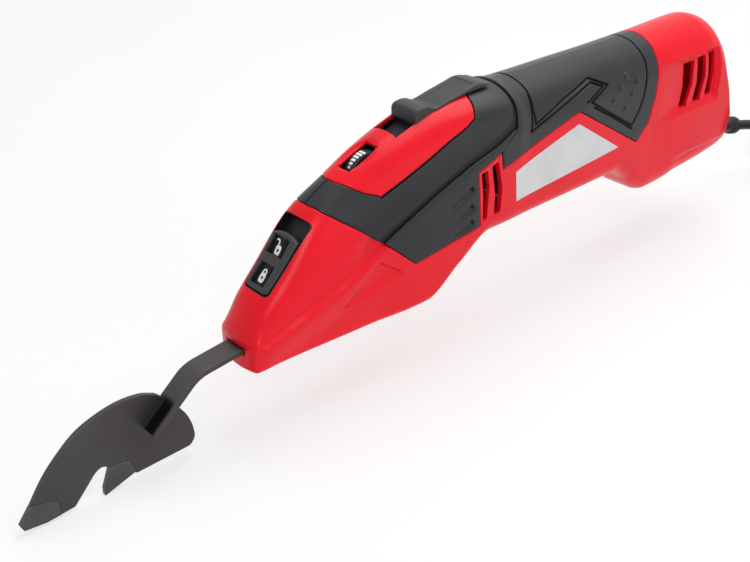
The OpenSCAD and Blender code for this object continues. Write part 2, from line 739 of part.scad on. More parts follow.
// Mains lead: strain relief, free stretch, coil, tie and plug.
module relief_shape(grow) {
  cylinder(r = relief_flange_r * grow, h = relief_flange_l);
  cylinder(r1 = relief_r * grow, r2 = relief_out_r * grow, h = relief_l - relief_end_l);
  translate([0, 0, relief_l - relief_end_l]) cylinder(r = relief_end_r * grow, h = relief_end_l);
}
module strain_relief() color("Black") tool() relief_frame() relief_shape(1);

lead_sides = 8;
coil_sides = 6;
loop_rings = 24;
tie_t = 0.8 * per_w;
tie_w = 8 * per_w;
lead_r = lead_d / 2;
pitch = lead_d + coil_gap;
coil_z = tie_t + coil_gap / 2 + lead_r;
coil_out_r = coil_r + coil_turns * pitch / 2;
coil_in_r = coil_r - coil_turns * pitch / 2;
layer_change = 0.25;
lead_run = 9.57 * lead_d;
lead_side = 4.67 * lead_d;
lead_turn = 70;
coil_start = 270 - lead_turn;
coil_at = [relief_end[0] + lead_run - coil_out_r * cos(coil_start), -lead_side - coil_out_r * sin(coil_start)];
coil_end = coil_layers * coil_turns + lead_turn / 360;
coil_top = coil_z + (coil_layers - 1) * pitch + lead_r;
plug_rise = lead_r + coil_gap + plug_h / 2;
last_climb = coil_layers * coil_turns - 2 * layer_change;
coil_rings = ceil(coil_end * loop_rings);

// The turns wind in on one layer and out on the next; the last half turn climbs to the plug.
function smooth(s) = s <= 0 ? 0 : (s >= 1 ? 1 : s * s * (3 - 2 * s));
function coil_radius(u) = coil_in_r + abs(u % (2 * coil_turns) - coil_turns) * pitch;
function layers_climbed(u, k) = k < 1 ? 0 :
  smooth((u - k * coil_turns + layer_change) / (2 * layer_change)) + layers_climbed(u, k - 1);
function coil_height(u) = coil_z + pitch * layers_climbed(u, coil_layers - 1)
  + plug_rise * smooth((u - last_climb) / (coil_end - last_climb));
function coil_point(u) = [coil_at[0] + coil_radius(u) * cos(coil_start + 360 * u),
  coil_at[1] + coil_radius(u) * sin(coil_start + 360 * u), coil_height(u)];
coil_turned = [for (k = [0 : coil_rings]) coil_point(coil_end * k / coil_rings)];
plug_at = coil_turned[coil_rings] + [lead_d, 0, 0];
coil_points = concat(coil_turned, [plug_at]);

// Free stretch: straight out of the relief, then down to the floor beside the coil, in shares of the run.
lead_shares = [[0, 0, 1], [0.08, 0, 0.97], [0.16, 0, 0.94], [0.237, 0, 0.907], [0.312, 0.009, 0.863],
  [0.383, 0.028, 0.808], [0.448, 0.057, 0.741], [0.506, 0.091, 0.664], [0.557, 0.129, 0.578], [0.6, 0.167, 0.484],
  [0.642, 0.209, 0.389], [0.688, 0.262, 0.303], [0.737, 0.329, 0.225], [0.788, 0.409, 0.158], [0.838, 0.503, 0.102],
  [0.886, 0.611, 0.056], [0.93, 0.738, 0.02], [0.973, 0.909, 0], [1, 1, 0]];
lead_from = [relief_end[0], 0, tooth_drop + relief_end[1]];
lead_next = lead_from + lead_d * [cos(relief_tilt), 0, -sin(relief_tilt)];
lead_to = coil_points[0];
lead_route = concat([lead_from], [for (s = lead_shares)
  [lead_next[0] + s[0] * (lead_to[0] - lead_next[0]), s[1] * lead_to[1],
   lead_to[2] + s[2] * (lead_next[2] - lead_to[2])]]);
plug_neck_r = 5 * per_w;
plug_neck_l = 12 * per_w;
plug_corner = 5 * per_w;

function unit(v) = v / norm(v);
function heading(route, i) =
  unit(route[min(i + 1, len(route) - 1)] - route[max(i - 1, 0)]);
function across(d) = unit(cross([0, 0, 1], d));

// A closed tube of flat sides along a route; its end rings stand square to the end stretches.
module tube(route, r, sides) {
  rings = len(route);
  points = [for (i = [0 : rings - 1]) let (d = heading(route, i), a = across(d), b = cross(d, a))
    for (k = [0 : sides - 1]) route[i] + r * (a * cos(360 * k / sides) + b * sin(360 * k / sides))];
  walls = [for (i = [0 : rings - 2], k = [0 : sides - 1])
    let (p = i * sides + k, q = i * sides + (k + 1) % sides)
    each [[p, p + sides, q], [q, p + sides, q + sides]]];
  caps = [for (k = [1 : sides - 2])
    each [[0, k, k + 1], [(rings - 1) * sides, (rings - 1) * sides + k + 1, (rings - 1) * sides + k]]];
  polyhedron(points = points, faces = concat(walls, caps));
}

least_gap = min([for (i = [0 : len(coil_points) - 1], j = [i + loop_rings / 2 : len(coil_points) - 1])
  norm(coil_points[i] - coil_points[j])]) - lead_d;
echo(least_gap_of_coil = least_gap);

module lead() color("Black") on_floor() tube(lead_route, lead_r, lead_sides);
module lead_coil() color("Black") on_floor() tube(coil_points, lead_r, coil_sides);

module coil_tie() color("DimGray") on_floor()
  translate([coil_at[0] + coil_in_r - lead_r - coil_gap - tie_t, coil_at[1] - tie_w / 2, 0]) {
    inner = [coil_out_r - coil_in_r + 2 * (lead_r + coil_gap), tie_w + 2 * overrun, coil_top + coil_gap];
    difference() {
      cube([inner[0] + 2 * tie_t, tie_w, inner[2] + tie_t]);
      translate([tie_t, -overrun, tie_t]) cube([inner[0], inner[1], inner[2] - tie_t]);
    }
  }

module plug_body() color("Black") on_floor() translate(plug_at) rotate([0, 90, 0]) {
  cylinder(r = plug_neck_r, h = plug_neck_l);
  translate([0, 0, plug_neck_l]) linear_extrude(plug_l - plug_neck_l) offset(plug_corner)
    square([plug_h - 2 * plug_corner, plug_w - 2 * plug_corner], center = true);
}
module plug_pins() color("Silver") on_floor()
  for (s = [-1, 1]) translate(plug_at + [plug_l, s * plug_pitch / 2, 0]) rotate([0, 90, 0])
    cylinder(r = plug_pin_r, h = plug_pin_l);

shell_left();
shell_right();
collar_left();
collar_right();
grip_left();
grip_right();
top_insert();
label_left();
label_right();
switch_slider();
switch_link();
switch_cell();
speed_dial();
speed_pot();
speed_board();
lock_slider();
lock_plate();
lock_latch();
stator();
field_windings();
motor_shaft();
armature_core();
armature_windings();
commutator();
fan();
pinion();
bearing_front();
bearing_rear();
brushes();
brush_holders();
crown_gear();
crank();
gear_frame();
guide_front();
guide_rear();
blade_holder();
blade_shank();
blade_plate();
front_tip();
rear_tip();
shell_screws();
strain_relief();
lead();
lead_coil();
coil_tie();
plug_body();
plug_pins();
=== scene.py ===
import json
import bpy
import bmesh
import numpy as np
from math import radians, pi
from mathutils import Matrix, Vector


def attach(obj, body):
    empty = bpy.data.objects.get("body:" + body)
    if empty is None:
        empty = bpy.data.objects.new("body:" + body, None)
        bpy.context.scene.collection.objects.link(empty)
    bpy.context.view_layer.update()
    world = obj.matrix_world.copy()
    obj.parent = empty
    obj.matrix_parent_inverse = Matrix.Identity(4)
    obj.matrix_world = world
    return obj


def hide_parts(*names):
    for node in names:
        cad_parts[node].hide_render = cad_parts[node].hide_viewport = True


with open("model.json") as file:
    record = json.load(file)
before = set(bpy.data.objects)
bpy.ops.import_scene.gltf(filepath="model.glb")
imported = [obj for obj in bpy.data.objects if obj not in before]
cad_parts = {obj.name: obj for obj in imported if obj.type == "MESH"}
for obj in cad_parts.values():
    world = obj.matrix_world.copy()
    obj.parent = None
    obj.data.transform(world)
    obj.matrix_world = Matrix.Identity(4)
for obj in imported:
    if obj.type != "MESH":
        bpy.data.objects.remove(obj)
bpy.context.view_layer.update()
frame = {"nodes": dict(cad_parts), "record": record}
nodes = frame["nodes"]
scene = bpy.context.scene
scene.view_settings.view_transform = "Standard"
print("frame loaded,", len(nodes), "nodes")

# tool drawing lengths are millimetres from the nose face and the nose underside
toolOrigin = np.array([133.96622, 0.0, -37.5])


def toFrame(points):
    # drawing millimetres to metres of the shared frame
    return (np.asarray(points, float) - toolOrigin) / 1000.0


def addObject(name, data):
    obj = bpy.data.objects.new(name, data)
    scene.collection.objects.link(obj)
    return obj


# camera
cameraValues = {"place": (-0.36225, -0.36708, 0.32854), "turn": -40.0, "lift": 30.3, "roll": -1.5,
                "lens": 55.2, "sensor": 36.0, "clip": (0.01, 50.0)}


def addCamera(v):
    # back leans by lift and turns by turn; right and up follow it, then roll turns both round the view line
    a, e, r = (radians(v[k]) for k in ("turn", "lift", "roll"))
    back = np.array([np.sin(a) * np.cos(e), -np.cos(a) * np.cos(e), np.sin(e)])
    right = np.cross(-back, [0, 0, 1])
    right /= np.linalg.norm(right)
    up = np.cross(right, -back)
    sideways = np.cos(r) * right + np.sin(r) * up
    upwards = -np.sin(r) * right + np.cos(r) * up
    m = np.eye(4)
    m[:3] = np.stack([sideways, upwards, back, v["place"]], 1)
    data = bpy.data.cameras.new("camera")
    data.lens = v["lens"]
    data.sensor_width = v["sensor"]
    data.sensor_fit = "HORIZONTAL"
    data.clip_start, data.clip_end = v["clip"]
    scene.camera = addObject("camera", data)
    scene.camera.matrix_world = Matrix(m.tolist())


addCamera(cameraValues)
print("camera set")


# materials
def clearTree(owner):
    owner.use_nodes = True
    owner.node_tree.nodes.clear()
    return owner.node_tree


def addNode(tree, kind, inputs=None, **settings):
    # an input gets a link where another node's output is given, and else a plain value
    node = tree.nodes.new("ShaderNode" + kind)
    for key, value in settings.items():
        setattr(node, key, value)
    for key, value in (inputs or {}).items():
        if isinstance(value, bpy.types.NodeSocket):
            tree.links.new(value, node.inputs[key])
        else:
            node.inputs[key].default_value = value
    return node


def noiseOn(tree, scale, detail=2.0, stretch=None):
    place = addNode(tree, "TexCoord").outputs["Object"]
    if stretch is not None:
        place = addNode(tree, "Mapping", {"Vector": place, "Scale": stretch}).outputs[0]
    return addNode(tree, "TexNoise", {"Vector": place, "Scale": scale, "Detail": detail}).outputs["Fac"]


def rampOn(tree, value, low, high, span=(0.3, 0.7)):
    ramp = addNode(tree, "ValToRGB", {0: value})
    for stop, place, tone in zip(ramp.color_ramp.elements, span, (low, high)):
        stop.position = place
        stop.color = (*tone, 1)
    return ramp.outputs[0]


def rangeOn(tree, value, low, high, start=0.0, end=1.0):
    ends = {"Value": value, "From Min": start, "From Max": end, "To Min": low, "To Max": high}
    return addNode(tree, "MapRange", ends).outputs[0]


finishValues = {"detail": 3.0, "lift": 0.0002, "smoother": 0.06, "rougher": 0.08,
                "shadeTone": (0.006, 0.006, 0.007, 1), "shadeShine": 0.02}


def mouldedFinish(name, dark, light, rough, grain, bump,
                  cloud=22.0, specular=0.5, stretch=None, metal=0.0, grooved=False):
    # colour drifts between two tones in soft clouds, roughness breathes a little, fine grain lifts the surface
    v = finishValues
    mat = bpy.data.materials.new(name)
    tree = clearTree(mat)
    colour, shine = rampOn(tree, noiseOn(tree, cloud, v["detail"]), dark, light), specular
    if grooved:  # painted shade: grooves, pads and hollows take a darker tone and less shine by the point attribute, in place of the shade that falls in them
        depth = addNode(tree, "Attribute", attribute_name="groove").outputs["Fac"]
        shadeTone = addNode(tree, "Mix", {"Factor": depth, "A": colour, "B": v["shadeTone"]}, data_type="RGBA")
        colour, shine = shadeTone.outputs["Result"], rangeOn(tree, depth, specular, v["shadeShine"])
    grains = noiseOn(tree, grain, v["detail"], stretch)
    lifted = addNode(tree, "Bump", {"Strength": bump, "Distance": v["lift"], "Height": grains})
    shader = addNode(tree, "BsdfPrincipled", {
        "Base Color": colour, "Roughness": rangeOn(tree, grains, rough - v["smoother"], rough + v["rougher"]),
        "Normal": lifted.outputs[0], "Specular IOR Level": shine, "Metallic": metal})
    addNode(tree, "OutputMaterial", {"Surface": shader.outputs[0]})
    return mat


# dark tone, light tone, roughness, scale of the grain, its bump, and what differs from plain plastic
finishRows = {
    "redPlastic": ((0.72, 0.002, 0.012), (0.79, 0.003, 0.016), 0.31, 2400, 0.08, {"specular": 0.22}),
    "softGrip": ((0.012, 0.013, 0.0155), (0.018, 0.019, 0.022), 0.34, 2000, 0.16,
                 {"specular": 0.30, "grooved": True}),
    "blackPlastic": ((0.010, 0.010, 0.011), (0.016, 0.016, 0.018), 0.42, 2200, 0.14, {"specular": 0.25}),
    "switchPlastic": ((0.024, 0.025, 0.027), (0.034, 0.035, 0.038), 0.46, 2200, 0.16,
                      {"specular": 0.34, "grooved": True}),
    "labelFoil": ((0.55, 0.56, 0.57), (0.64, 0.65, 0.66), 0.40, 900, 0.05,
                  {"cloud": 60.0, "stretch": (0.1, 1.0, 1.0)}),
    "bladeSteel": ((0.034, 0.030, 0.028), (0.050, 0.046, 0.043), 0.42, 1500, 0.10,
                   {"cloud": 35.0, "specular": 0.45, "stretch": (0.25, 1.0, 1.0), "metal": 0.3, "grooved": True}),
    "carbide": ((0.056, 0.055, 0.055), (0.074, 0.073, 0.072), 0.36, 1800, 0.08,
                {"cloud": 60.0, "stretch": (1.0, 1.0, 0.2), "metal": 0.6}),
    "whitePrint": ((0.78, 0.78, 0.78), (0.86, 0.86, 0.86), 0.5, 1500, 0.05, {}),
    "cordSheath": ((0.006, 0.006, 0.006), (0.010, 0.010, 0.011), 0.42, 1200, 0.08, {"specular": 0.22}),
    "steel": ((0.42, 0.42, 0.43), (0.56, 0.56, 0.57), 0.30, 1400, 0.06,
              {"cloud": 40.0, "stretch": (1.0, 0.15, 1.0), "metal": 1.0}),
    "laminations": ((0.16, 0.17, 0.18), (0.24, 0.25, 0.27), 0.45, 2600, 0.25,
                    {"cloud": 50.0, "stretch": (1.0, 0.05, 0.05), "metal": 0.8}),
    "copper": ((0.45, 0.19, 0.07), (0.62, 0.28, 0.11), 0.35, 2600, 0.30,
               {"cloud": 80.0, "stretch": (1.0, 0.2, 0.2), "metal": 0.8}),
    "bronze": ((0.45, 0.32, 0.13), (0.58, 0.43, 0.19), 0.40, 1800, 0.10, {"cloud": 60.0, "metal": 0.9}),
    "carbon": ((0.02, 0.02, 0.02), (0.045, 0.045, 0.045), 0.6, 2200, 0.2, {}),
    "board": ((0.02, 0.14, 0.05), (0.04, 0.22, 0.08), 0.4, 1500, 0.1, {}),
    "aluminium": ((0.50, 0.50, 0.52), (0.62, 0.62, 0.64), 0.42, 1600, 0.15, {"cloud": 40.0, "metal": 1.0}),
    "pinMetal": ((0.66, 0.65, 0.62), (0.78, 0.77, 0.74), 0.22, 1500, 0.04, {"cloud": 60.0, "metal": 1.0}),
}
finishes = {name: mouldedFinish(name, *row[:5], **row[5]) for name, row in finishRows.items()}
print("finishes made:", len(finishes))

# the part's own slots take these finishes where a solid stays in view
slotFinish = {
    "red_plastic": "redPlastic", "soft_grip": "softGrip", "dark_plastic": "blackPlastic", "label_foil": "labelFoil",
    "blade_steel": "bladeSteel", "carbide": "carbide", "steel": "steel", "laminations": "laminations",
    "copper": "copper", "bronze": "bronze", "carbon": "carbon", "board": "board", "aluminium": "aluminium",
    "cord": "cordSheath", "pin_metal": "pinMetal",
}
for row in frame["record"]["subparts"]:
    solid = nodes[row["node"]]
    solid.data.materials.clear()
    solid.data.materials.append(finishes[slotFinish[row["material_slot"]]])


# meshes
def closedMesh(name, verts, faces):
    mesh = bpy.data.meshes.new(name)
    mesh.from_pydata(toFrame(verts).tolist(), [], faces if isinstance(faces, list) else faces.tolist())
    work = bmesh.new()
    work.from_mesh(mesh)
    bmesh.ops.recalc_face_normals(work, faces=work.faces)
    work.to_mesh(mesh)
    work.free()
    return mesh


def makePiece(name, meshes, finish, body, stands=(), angle=38.0):
    # one piece from one or more closed meshes
    work = bmesh.new()
    for part in meshes:
        work.from_mesh(part)
        bpy.data.meshes.remove(part)
    mesh = bpy.data.meshes.new(name)
    work.to_mesh(mesh)
    work.free()
    mesh.shade_smooth()
    mesh.set_sharp_from_angle(angle=radians(angle))
    mesh.materials.append(finishes[finish])
    piece = addObject(name, mesh)
    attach(piece, body)
    if stands:
        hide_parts(*stands)
    return piece


def shadeGrooves(piece, depth):
    # painted shade: how dark each point is, for the finishes that darken their grooves, pads and hollows
    piece.data.attributes.new("groove", "FLOAT", "POINT").data.foreach_set("value", depth)


sides = (("left", -1), ("right", 1))


def bothHalves(name, verts, faces, finish, slot, depth=None):
    # the same form on each side of the tool, mirrored across it
    for side, sign in sides:
        mesh = closedMesh(name, verts * [1, sign, 1], faces)
        piece = makePiece(name + side.capitalize(), [mesh], finish, "housing", (name + "_" + side,))
        if depth is not None:
            shadeGrooves(piece, depth)


def gridFaces(nu, nv, start=0, closeU=False, closeV=False):
    # quads between neighbouring rows and columns, wrapped round where a direction closes
    rows, columns = np.arange(nu if closeU else nu - 1), np.arange(nv if closeV else nv - 1)
    i, j = np.meshgrid(rows, columns, indexing="ij")
    i2, j2 = (i + 1) % nu, (j + 1) % nv
    return np.stack([i * nv + j, i2 * nv + j, i2 * nv + j2, i * nv + j2], -1).reshape(-1, 4) + start


def tubeFaces(n, k):
    # n rings of k points joined in order, with a face over each end
    return gridFaces(n, k, closeV=True).tolist() + [list(range(k))[::-1], list(range((n - 1) * k, n * k))]


def prismFaces(k):
    # two end faces of k corners, and the walls between them
    ring = np.arange(k)
    after = (ring + 1) % k
    return [ring[::-1].tolist(), (ring + k).tolist()] + np.stack([ring, after, after + k, ring + k], -1).tolist()


def rimFaces(nu, nv, other):
    # walls that join the rim of a grid to the rim of its twin, which starts other places later
    top = np.arange(nu) * nv
    last = (nu - 1) * nv + np.arange(nv - 1)
    ring = np.concatenate([top[:-1], last, (top + nv - 1)[:0:-1], np.arange(nv - 1, 0, -1)])
    after = np.roll(ring, -1)
    return np.stack([ring, after, after + other, ring + other], -1)


def twinGrid(upper, lower):
    # two grids of one size, closed by walls from rim to rim
    nu, nv = upper.shape[:2]
    faces = [gridFaces(nu, nv), gridFaces(nu, nv, nu * nv)[:, ::-1], rimFaces(nu, nv, nu * nv)]
    return np.concatenate([upper.reshape(-1, 3), lower.reshape(-1, 3)]), np.concatenate(faces)


def gridNormals(p):
    # across both grid directions, at length one
    n = np.cross(np.gradient(p, axis=0), np.gradient(p, axis=1))
    return n / np.maximum(np.linalg.norm(n, axis=-1, keepdims=True), 1e-9)


def rimDistance(p):
    # distance along the grid lines to each of the four rims
    du, dv = (np.insert(np.cumsum(np.linalg.norm(np.diff(p, axis=k), axis=-1), k), 0, 0.0, k) for k in (0, 1))
    return du, du[-1:] - du, dv, dv[:, -1:] - dv


def roundDrop(d, r):
    # quarter round: nothing beyond r from the rim, and r at the rim itself
    return r - np.sqrt(np.maximum(r * r - np.maximum(r - d, 0) ** 2, 0))


def solidFromGrid(p, outward, deep, rims, dip=0.0):
    # the grid is the upper face with rounded rims; a twin grid lies deep below it, and walls close the two
    n = gridNormals(p)
    if np.sum(n * outward) < 0:
        n = -n
    drop = np.max([roundDrop(d, r(p) if callable(r) else r) for d, r in zip(rimDistance(p), rims)], axis=0) + dip
    upper = p - n * drop[..., None]
    return *twinGrid(upper, p - n * deep), upper


def joinParts(parts):
    verts, faces, at = [], [], 0
    for v, f in parts:
        verts.append(v)
        faces.append(f + at)
        at += len(v)
    return np.concatenate(verts), np.concatenate(faces)


def spread(count, edge):
    # even shares from 0 to 1 with extra lines close to both ends for the rounded rims
    near = np.array([0, 0.08, 0.22, 0.42, 0.68]) * edge
    return np.concatenate([near, np.linspace(edge, 1 - edge, count), 1 - near[::-1]])


# body form: rows in thousandths of length, height and width, as in the part's source
bodyValues = {"length": 348.0, "width": 49.6, "height": 95.0, "noseRound": 1.5, "rearRound": 2.5}
ringCounts = {"crown": 56, "side": 30, "corner": 14, "under": 16}
bodyRows = np.array([
    [0, 168, 0, 280, 147, 268, 40, 30, 2.8], [23, 321, 0, 296, 210, 276, 50, 30, 3.6],
    [57, 458, 0, 322, 270, 292, 60, 28, 4.0], [112, 684, 0, 363, 334, 327, 71, 26, 3.0],
    [161, 784, 0, 399, 395, 359, 81, 24, 2.5], [218, 874, 0, 433, 479, 391, 91, 22, 2.6],
    [276, 942, 5, 464, 568, 419, 101, 20, 2.6], [333, 989, 132, 488, 653, 440, 131, 16, 2.6],
    [397, 1000, 253, 500, 742, 448, 161, 10, 2.5], [437, 995, 251, 492, 779, 444, 161, 4, 2.3],
    [466, 983, 251, 464, 758, 435, 161, 0, 2.0], [592, 975, 246, 440, 753, 415, 161, 0, 2.0],
    [678, 971, 242, 419, 753, 399, 161, 0, 2.0], [716, 971, 168, 415, 753, 391, 181, 0, 2.0],
    [739, 971, 84, 411, 753, 383, 222, 0, 2.0], [761, 971, 26, 409, 753, 375, 242, 0, 2.0],
    [773, 971, 11, 412, 753, 375, 252, 0, 2.0], [790, 971, 11, 417, 753, 375, 252, 0, 2.0],
    [825, 973, 23, 431, 742, 383, 252, 0, 2.0], [885, 975, 42, 444, 737, 395, 252, 0, 2.0],
    [911, 953, 48, 442, 716, 393, 252, 0, 2.0], [931, 884, 55, 433, 653, 389, 252, 0, 2.0],
    [945, 779, 61, 423, 558, 383, 242, 0, 2.0], [960, 642, 66, 407, 463, 371, 232, 0, 2.0],
    [974, 505, 69, 379, 358, 347, 222, 0, 2.0], [989, 379, 73, 331, 274, 306, 181, 0, 2.0],
    [1000, 274, 84, 252, 216, 232, 101, 0, 2.0]])
bodyColumns = ("length", "height", "height", "width", "height", "width", "width")  # then an angle and a squareness
bodyTable = bodyRows * np.array([bodyValues[k] / 1000 for k in bodyColumns] + [1, 1])


def monotoneRows(x):
    # cubic from row to row whose slopes are harmonic means of their neighbours, so it never overshoots
    xs, ys = bodyTable[:, 0], bodyTable[:, 1:]
    h = np.diff(xs)[:, None]
    d = np.diff(ys, axis=0) / h
    w1, w2 = 2 * h[1:] + h[:-1], h[1:] + 2 * h[:-1]
    same = d[1:] * d[:-1] > 0
    safe0, safe1 = np.where(same, d[:-1], 1), np.where(same, d[1:], 1)
    m = np.concatenate([d[:1], np.where(same, (w1 + w2) / (w1 / safe0 + w2 / safe1), 0), d[-1:]])
    k = np.clip(np.searchsorted(xs, x, side="right") - 1, 0, len(xs) - 2)
    g = h[k]
    t = np.clip((x - xs[k])[:, None] / g, 0, 1)
    return ((2 * t**3 - 3 * t**2 + 1) * ys[k] + (t**3 - 2 * t**2 + t) * g * m[k]
            + (3 * t**2 - 2 * t**3) * ys[k + 1] + (t**3 - t**2) * g * m[k + 1])


def halfRing(x):
    # crown is part of a superellipse, then a straight side, a round corner and a flat underside to the middle
    top, low, wide, wideZ, foot, corner, stop, square = monotoneRows(x).T[:, :, None]
    stop = np.radians(np.clip(stop, 0, 60))
    a = pi / 2 + (stop - pi / 2) * np.linspace(0, 1, ringCounts["crown"])[None] ** 1.1
    p = 2 / square
    crownY = wide * (np.maximum(np.cos(a), 0) / np.cos(stop)) ** p
    edge = np.sin(stop) ** p
    crownZ = wideZ + (top - wideZ) * (np.sin(a) ** p - edge) / (1 - edge)
    s = np.linspace(0, 1, ringCounts["side"])[None, 1:]
    sideY, sideZ = wide + (foot - wide) * s, wideZ + (low + corner - wideZ) * s
    c = np.linspace(0, pi / 2, ringCounts["corner"])[None, 1:]
    cornerY, cornerZ = foot - corner + corner * np.cos(c), low + corner - corner * np.sin(c)
    u = np.linspace(0, 1, ringCounts["under"])[None, 1:]
    underY, underZ = (foot - corner) * (1 - u), low + 0 * u
    y = np.concatenate([crownY, sideY, cornerY, underY], 1)
    z = np.concatenate([crownZ, sideZ, cornerZ, underZ], 1)
    y[:, 0] = 0
    run = np.insert(np.cumsum(np.hypot(np.diff(y, axis=1), np.diff(z, axis=1)), 1), 0, 0.0, 1)
    return y, z, run / run[:, -1:]


def locate(table, value):
    # the step of each row that a value falls in, and its share of that step
    k = np.clip((table < value[:, None]).sum(1) - 1, 0, table.shape[1] - 2)
    rows = np.arange(len(k))
    low, high = table[rows, k], table[rows, k + 1]
    return k, np.clip((value - low) / np.maximum(high - low, 1e-9), 0, 1)


def pick(table, k, part):
    # each row's value at a place that locate gave
    rows = np.arange(len(k))
    return table[rows, k] * (1 - part) + table[rows, k + 1] * part


def bodyAt(x, t):
    # point at distance x from the nose and share t of the half ring; a minus share is the other side
    v, flat, way = bodyValues, np.ravel(x), np.ravel(t)
    y, z, run = halfRing(flat)
    place = locate(run, np.abs(way))
    drop = roundDrop(flat, v["noseRound"]) + roundDrop(v["length"] - flat, v["rearRound"])
    mid, tall, broad = (z.max(1) + z.min(1)) / 2, (z.max(1) - z.min(1)) / 2, y.max(1)
    across = pick(y, *place) * (1 - drop / broad) * np.where(way < 0, -1, 1)
    height = mid + (pick(z, *place) - mid) * (1 - drop / tall)  # both ends draw in evenly round their middle
    return np.stack([flat, across, height], -1).reshape(np.shape(x) + (3,))


crown, keel = 999.0, -999.0  # heights that mean the top line and the underside line


def shareAtHeight(x, height):
    # share of the half ring where the side view shows that height
    z, run = halfRing(x)[1:]
    share = pick(run, *locate(-z, -height))
    return np.where(height == crown, 0.0, np.where(height == keel, 1.0, share))


def shareAtWidth(x, width):
    # share of the half ring where the top view shows that width, signed by its side
    y, run = halfRing(x)[::2]
    return pick(run, *locate(y[:, :ringCounts["crown"]], np.abs(width))) * np.where(width < 0, -1, 1)


def fine(points, steps=24):
    # straight runs between the given points, cut into short steps
    p = np.array(points, float)
    s = np.linspace(0, 1, steps, endpoint=False)[:, None]
    return np.concatenate([(a + (b - a) * s) for a, b in zip(p[:-1], p[1:])] + [p[-1:]])


def throughPoints(points, steps=8):
    # smooth run through the points: each stretch is a cubic that leaves along the chord of its neighbours
    p = np.array(points, float)
    q = np.concatenate([[2 * p[0] - p[1]], p, [2 * p[-1] - p[-2]]])
    s = np.linspace(0, 1, steps, endpoint=False)[:, None]
    rows = []
    for a, b, c, d in zip(q[:-3], q[1:-2], q[2:-1], q[3:]):
        rows.append(0.5 * (2 * b + (c - a) * s + (2 * a - 5 * b + 4 * c - d) * s**2 + (3 * b - a - 3 * c + d) * s**3))
    return np.concatenate(rows + [p[-1:]])


def sideCurve(points):
    # side view points (distance, height) to (distance, share); runs on the top or underside stay there
    p = np.array(points, float)
    s = np.linspace(0, 1, 24, endpoint=False)
    rows = []
    for a, b in zip(p[:-1], p[1:]):
        x, z = a[0] + (b[0] - a[0]) * s, a[1] + (b[1] - a[1]) * s
        if max(abs(a[1]), abs(b[1])) == crown:
            start, end = shareAtHeight(*np.stack([a, b], 1))
            t = start + (end - start) * s
        else:
            t = shareAtHeight(x, z)
        rows.append(np.stack([x, t], -1))
    rows.append(np.stack([p[-1:, 0], shareAtHeight(p[-1:, 0], p[-1:, 1])], -1))
    return np.concatenate(rows)


def topCurve(points):
    # top view points (distance, width) to (distance, signed share)
    p = fine(points)
    return np.stack([p[:, 0], shareAtWidth(p[:, 0], p[:, 1])], -1)


ringRun = 110.0  # rough length of a half ring, to weigh shares against distances


def resample(curve, shares):
    # points at even shares of a curve's run
    d = np.diff(curve, axis=0) * [1.0, ringRun]
    run = np.concatenate([[0], np.cumsum(np.linalg.norm(d, axis=1))])
    run /= run[-1]
    return np.stack([np.interp(shares, run, curve[:, 0]), np.interp(shares, run, curve[:, 1])], -1)


def fourSided(c0, c1, d0, d1, su, sv):
    # each point blends the two pairs of facing curves and takes away the blend of the four corners
    a0, a1, b0, b1 = resample(c0, su), resample(c1, su), resample(d0, sv), resample(d1, sv)
    u, v = su[:, None, None], sv[None, :, None]
    ruled = (1 - v) * a0[:, None] + v * a1[:, None] + (1 - u) * b0[None] + u * b1[None]
    corners = (1 - u) * (1 - v) * b0[0] + u * (1 - v) * b1[0] + (1 - u) * v * b0[-1] + u * v * b1[-1]
    return ruled - corners


def outwardOf(p):
    # away from a line inside the body, which lies lower in the nose than behind it
    return np.stack([0 * p[..., 0], p[..., 1], p[..., 2] - np.where(p[..., 0] < 90, 20.0, 55.0)], -1)


def skinPatch(v):
    # a four-sided piece of the body form, v["deep"] thick, with rounded rims; plain points are of the side view
    curves = [v[k] if isinstance(v[k], np.ndarray) else sideCurve(v[k]) for k in ("top", "low", "front", "back")]
    g = fourSided(*curves, *(spread(n, v.get("edge", 0.012)) for n in v["count"]))
    p = bodyAt(g[..., 0], g[..., 1])
    dip = v["dips"](p) if "dips" in v else 0.0
    if "shape" in v:
        p = v["shape"](p)
    return solidFromGrid(p, outwardOf(p), v["deep"], v["rims"], dip)


def smoothStep(a, b, x):
    # nothing up to a, one from b on, and an eased rise between
    t = np.clip((x - a) / (b - a), 0, 1)
    return t * t * (3 - 2 * t)


def lineAt(line, x):
    # height of a run of straight lines at each distance
    return np.interp(x, *np.array(line).T)


def lineDistance(p, line):
    # distance in the side view from each point to a run of straight lines
    q = p[..., [0, 2]]
    best = np.full(q.shape[:-1], 1e9)
    for a, b in zip(np.array(line[:-1], float), np.array(line[1:], float)):
        s = np.clip(((q - a) @ (b - a)) / ((b - a) @ (b - a)), 0, 1)
        best = np.minimum(best, np.linalg.norm(q - a - s[..., None] * (b - a), axis=-1))
    return best


def insideOf(p, outline):
    # signed distance in the side view to a convex outline given clockwise or not; positive inside
    q, o = p[..., [0, 2]], np.array(outline, float)
    turn = np.sign(np.sum(o[:, 0] * np.roll(o[:, 1], -1) - np.roll(o[:, 0], -1) * o[:, 1]))
    d = np.full(q.shape[:-1], 1e9)
    for a, b in zip(o, np.roll(o, -1, 0)):
        e = (b - a) / np.linalg.norm(b - a)
        d = np.minimum(d, turn * (e[0] * (q[..., 1] - a[1]) - e[1] * (q[..., 0] - a[0])))
    return d


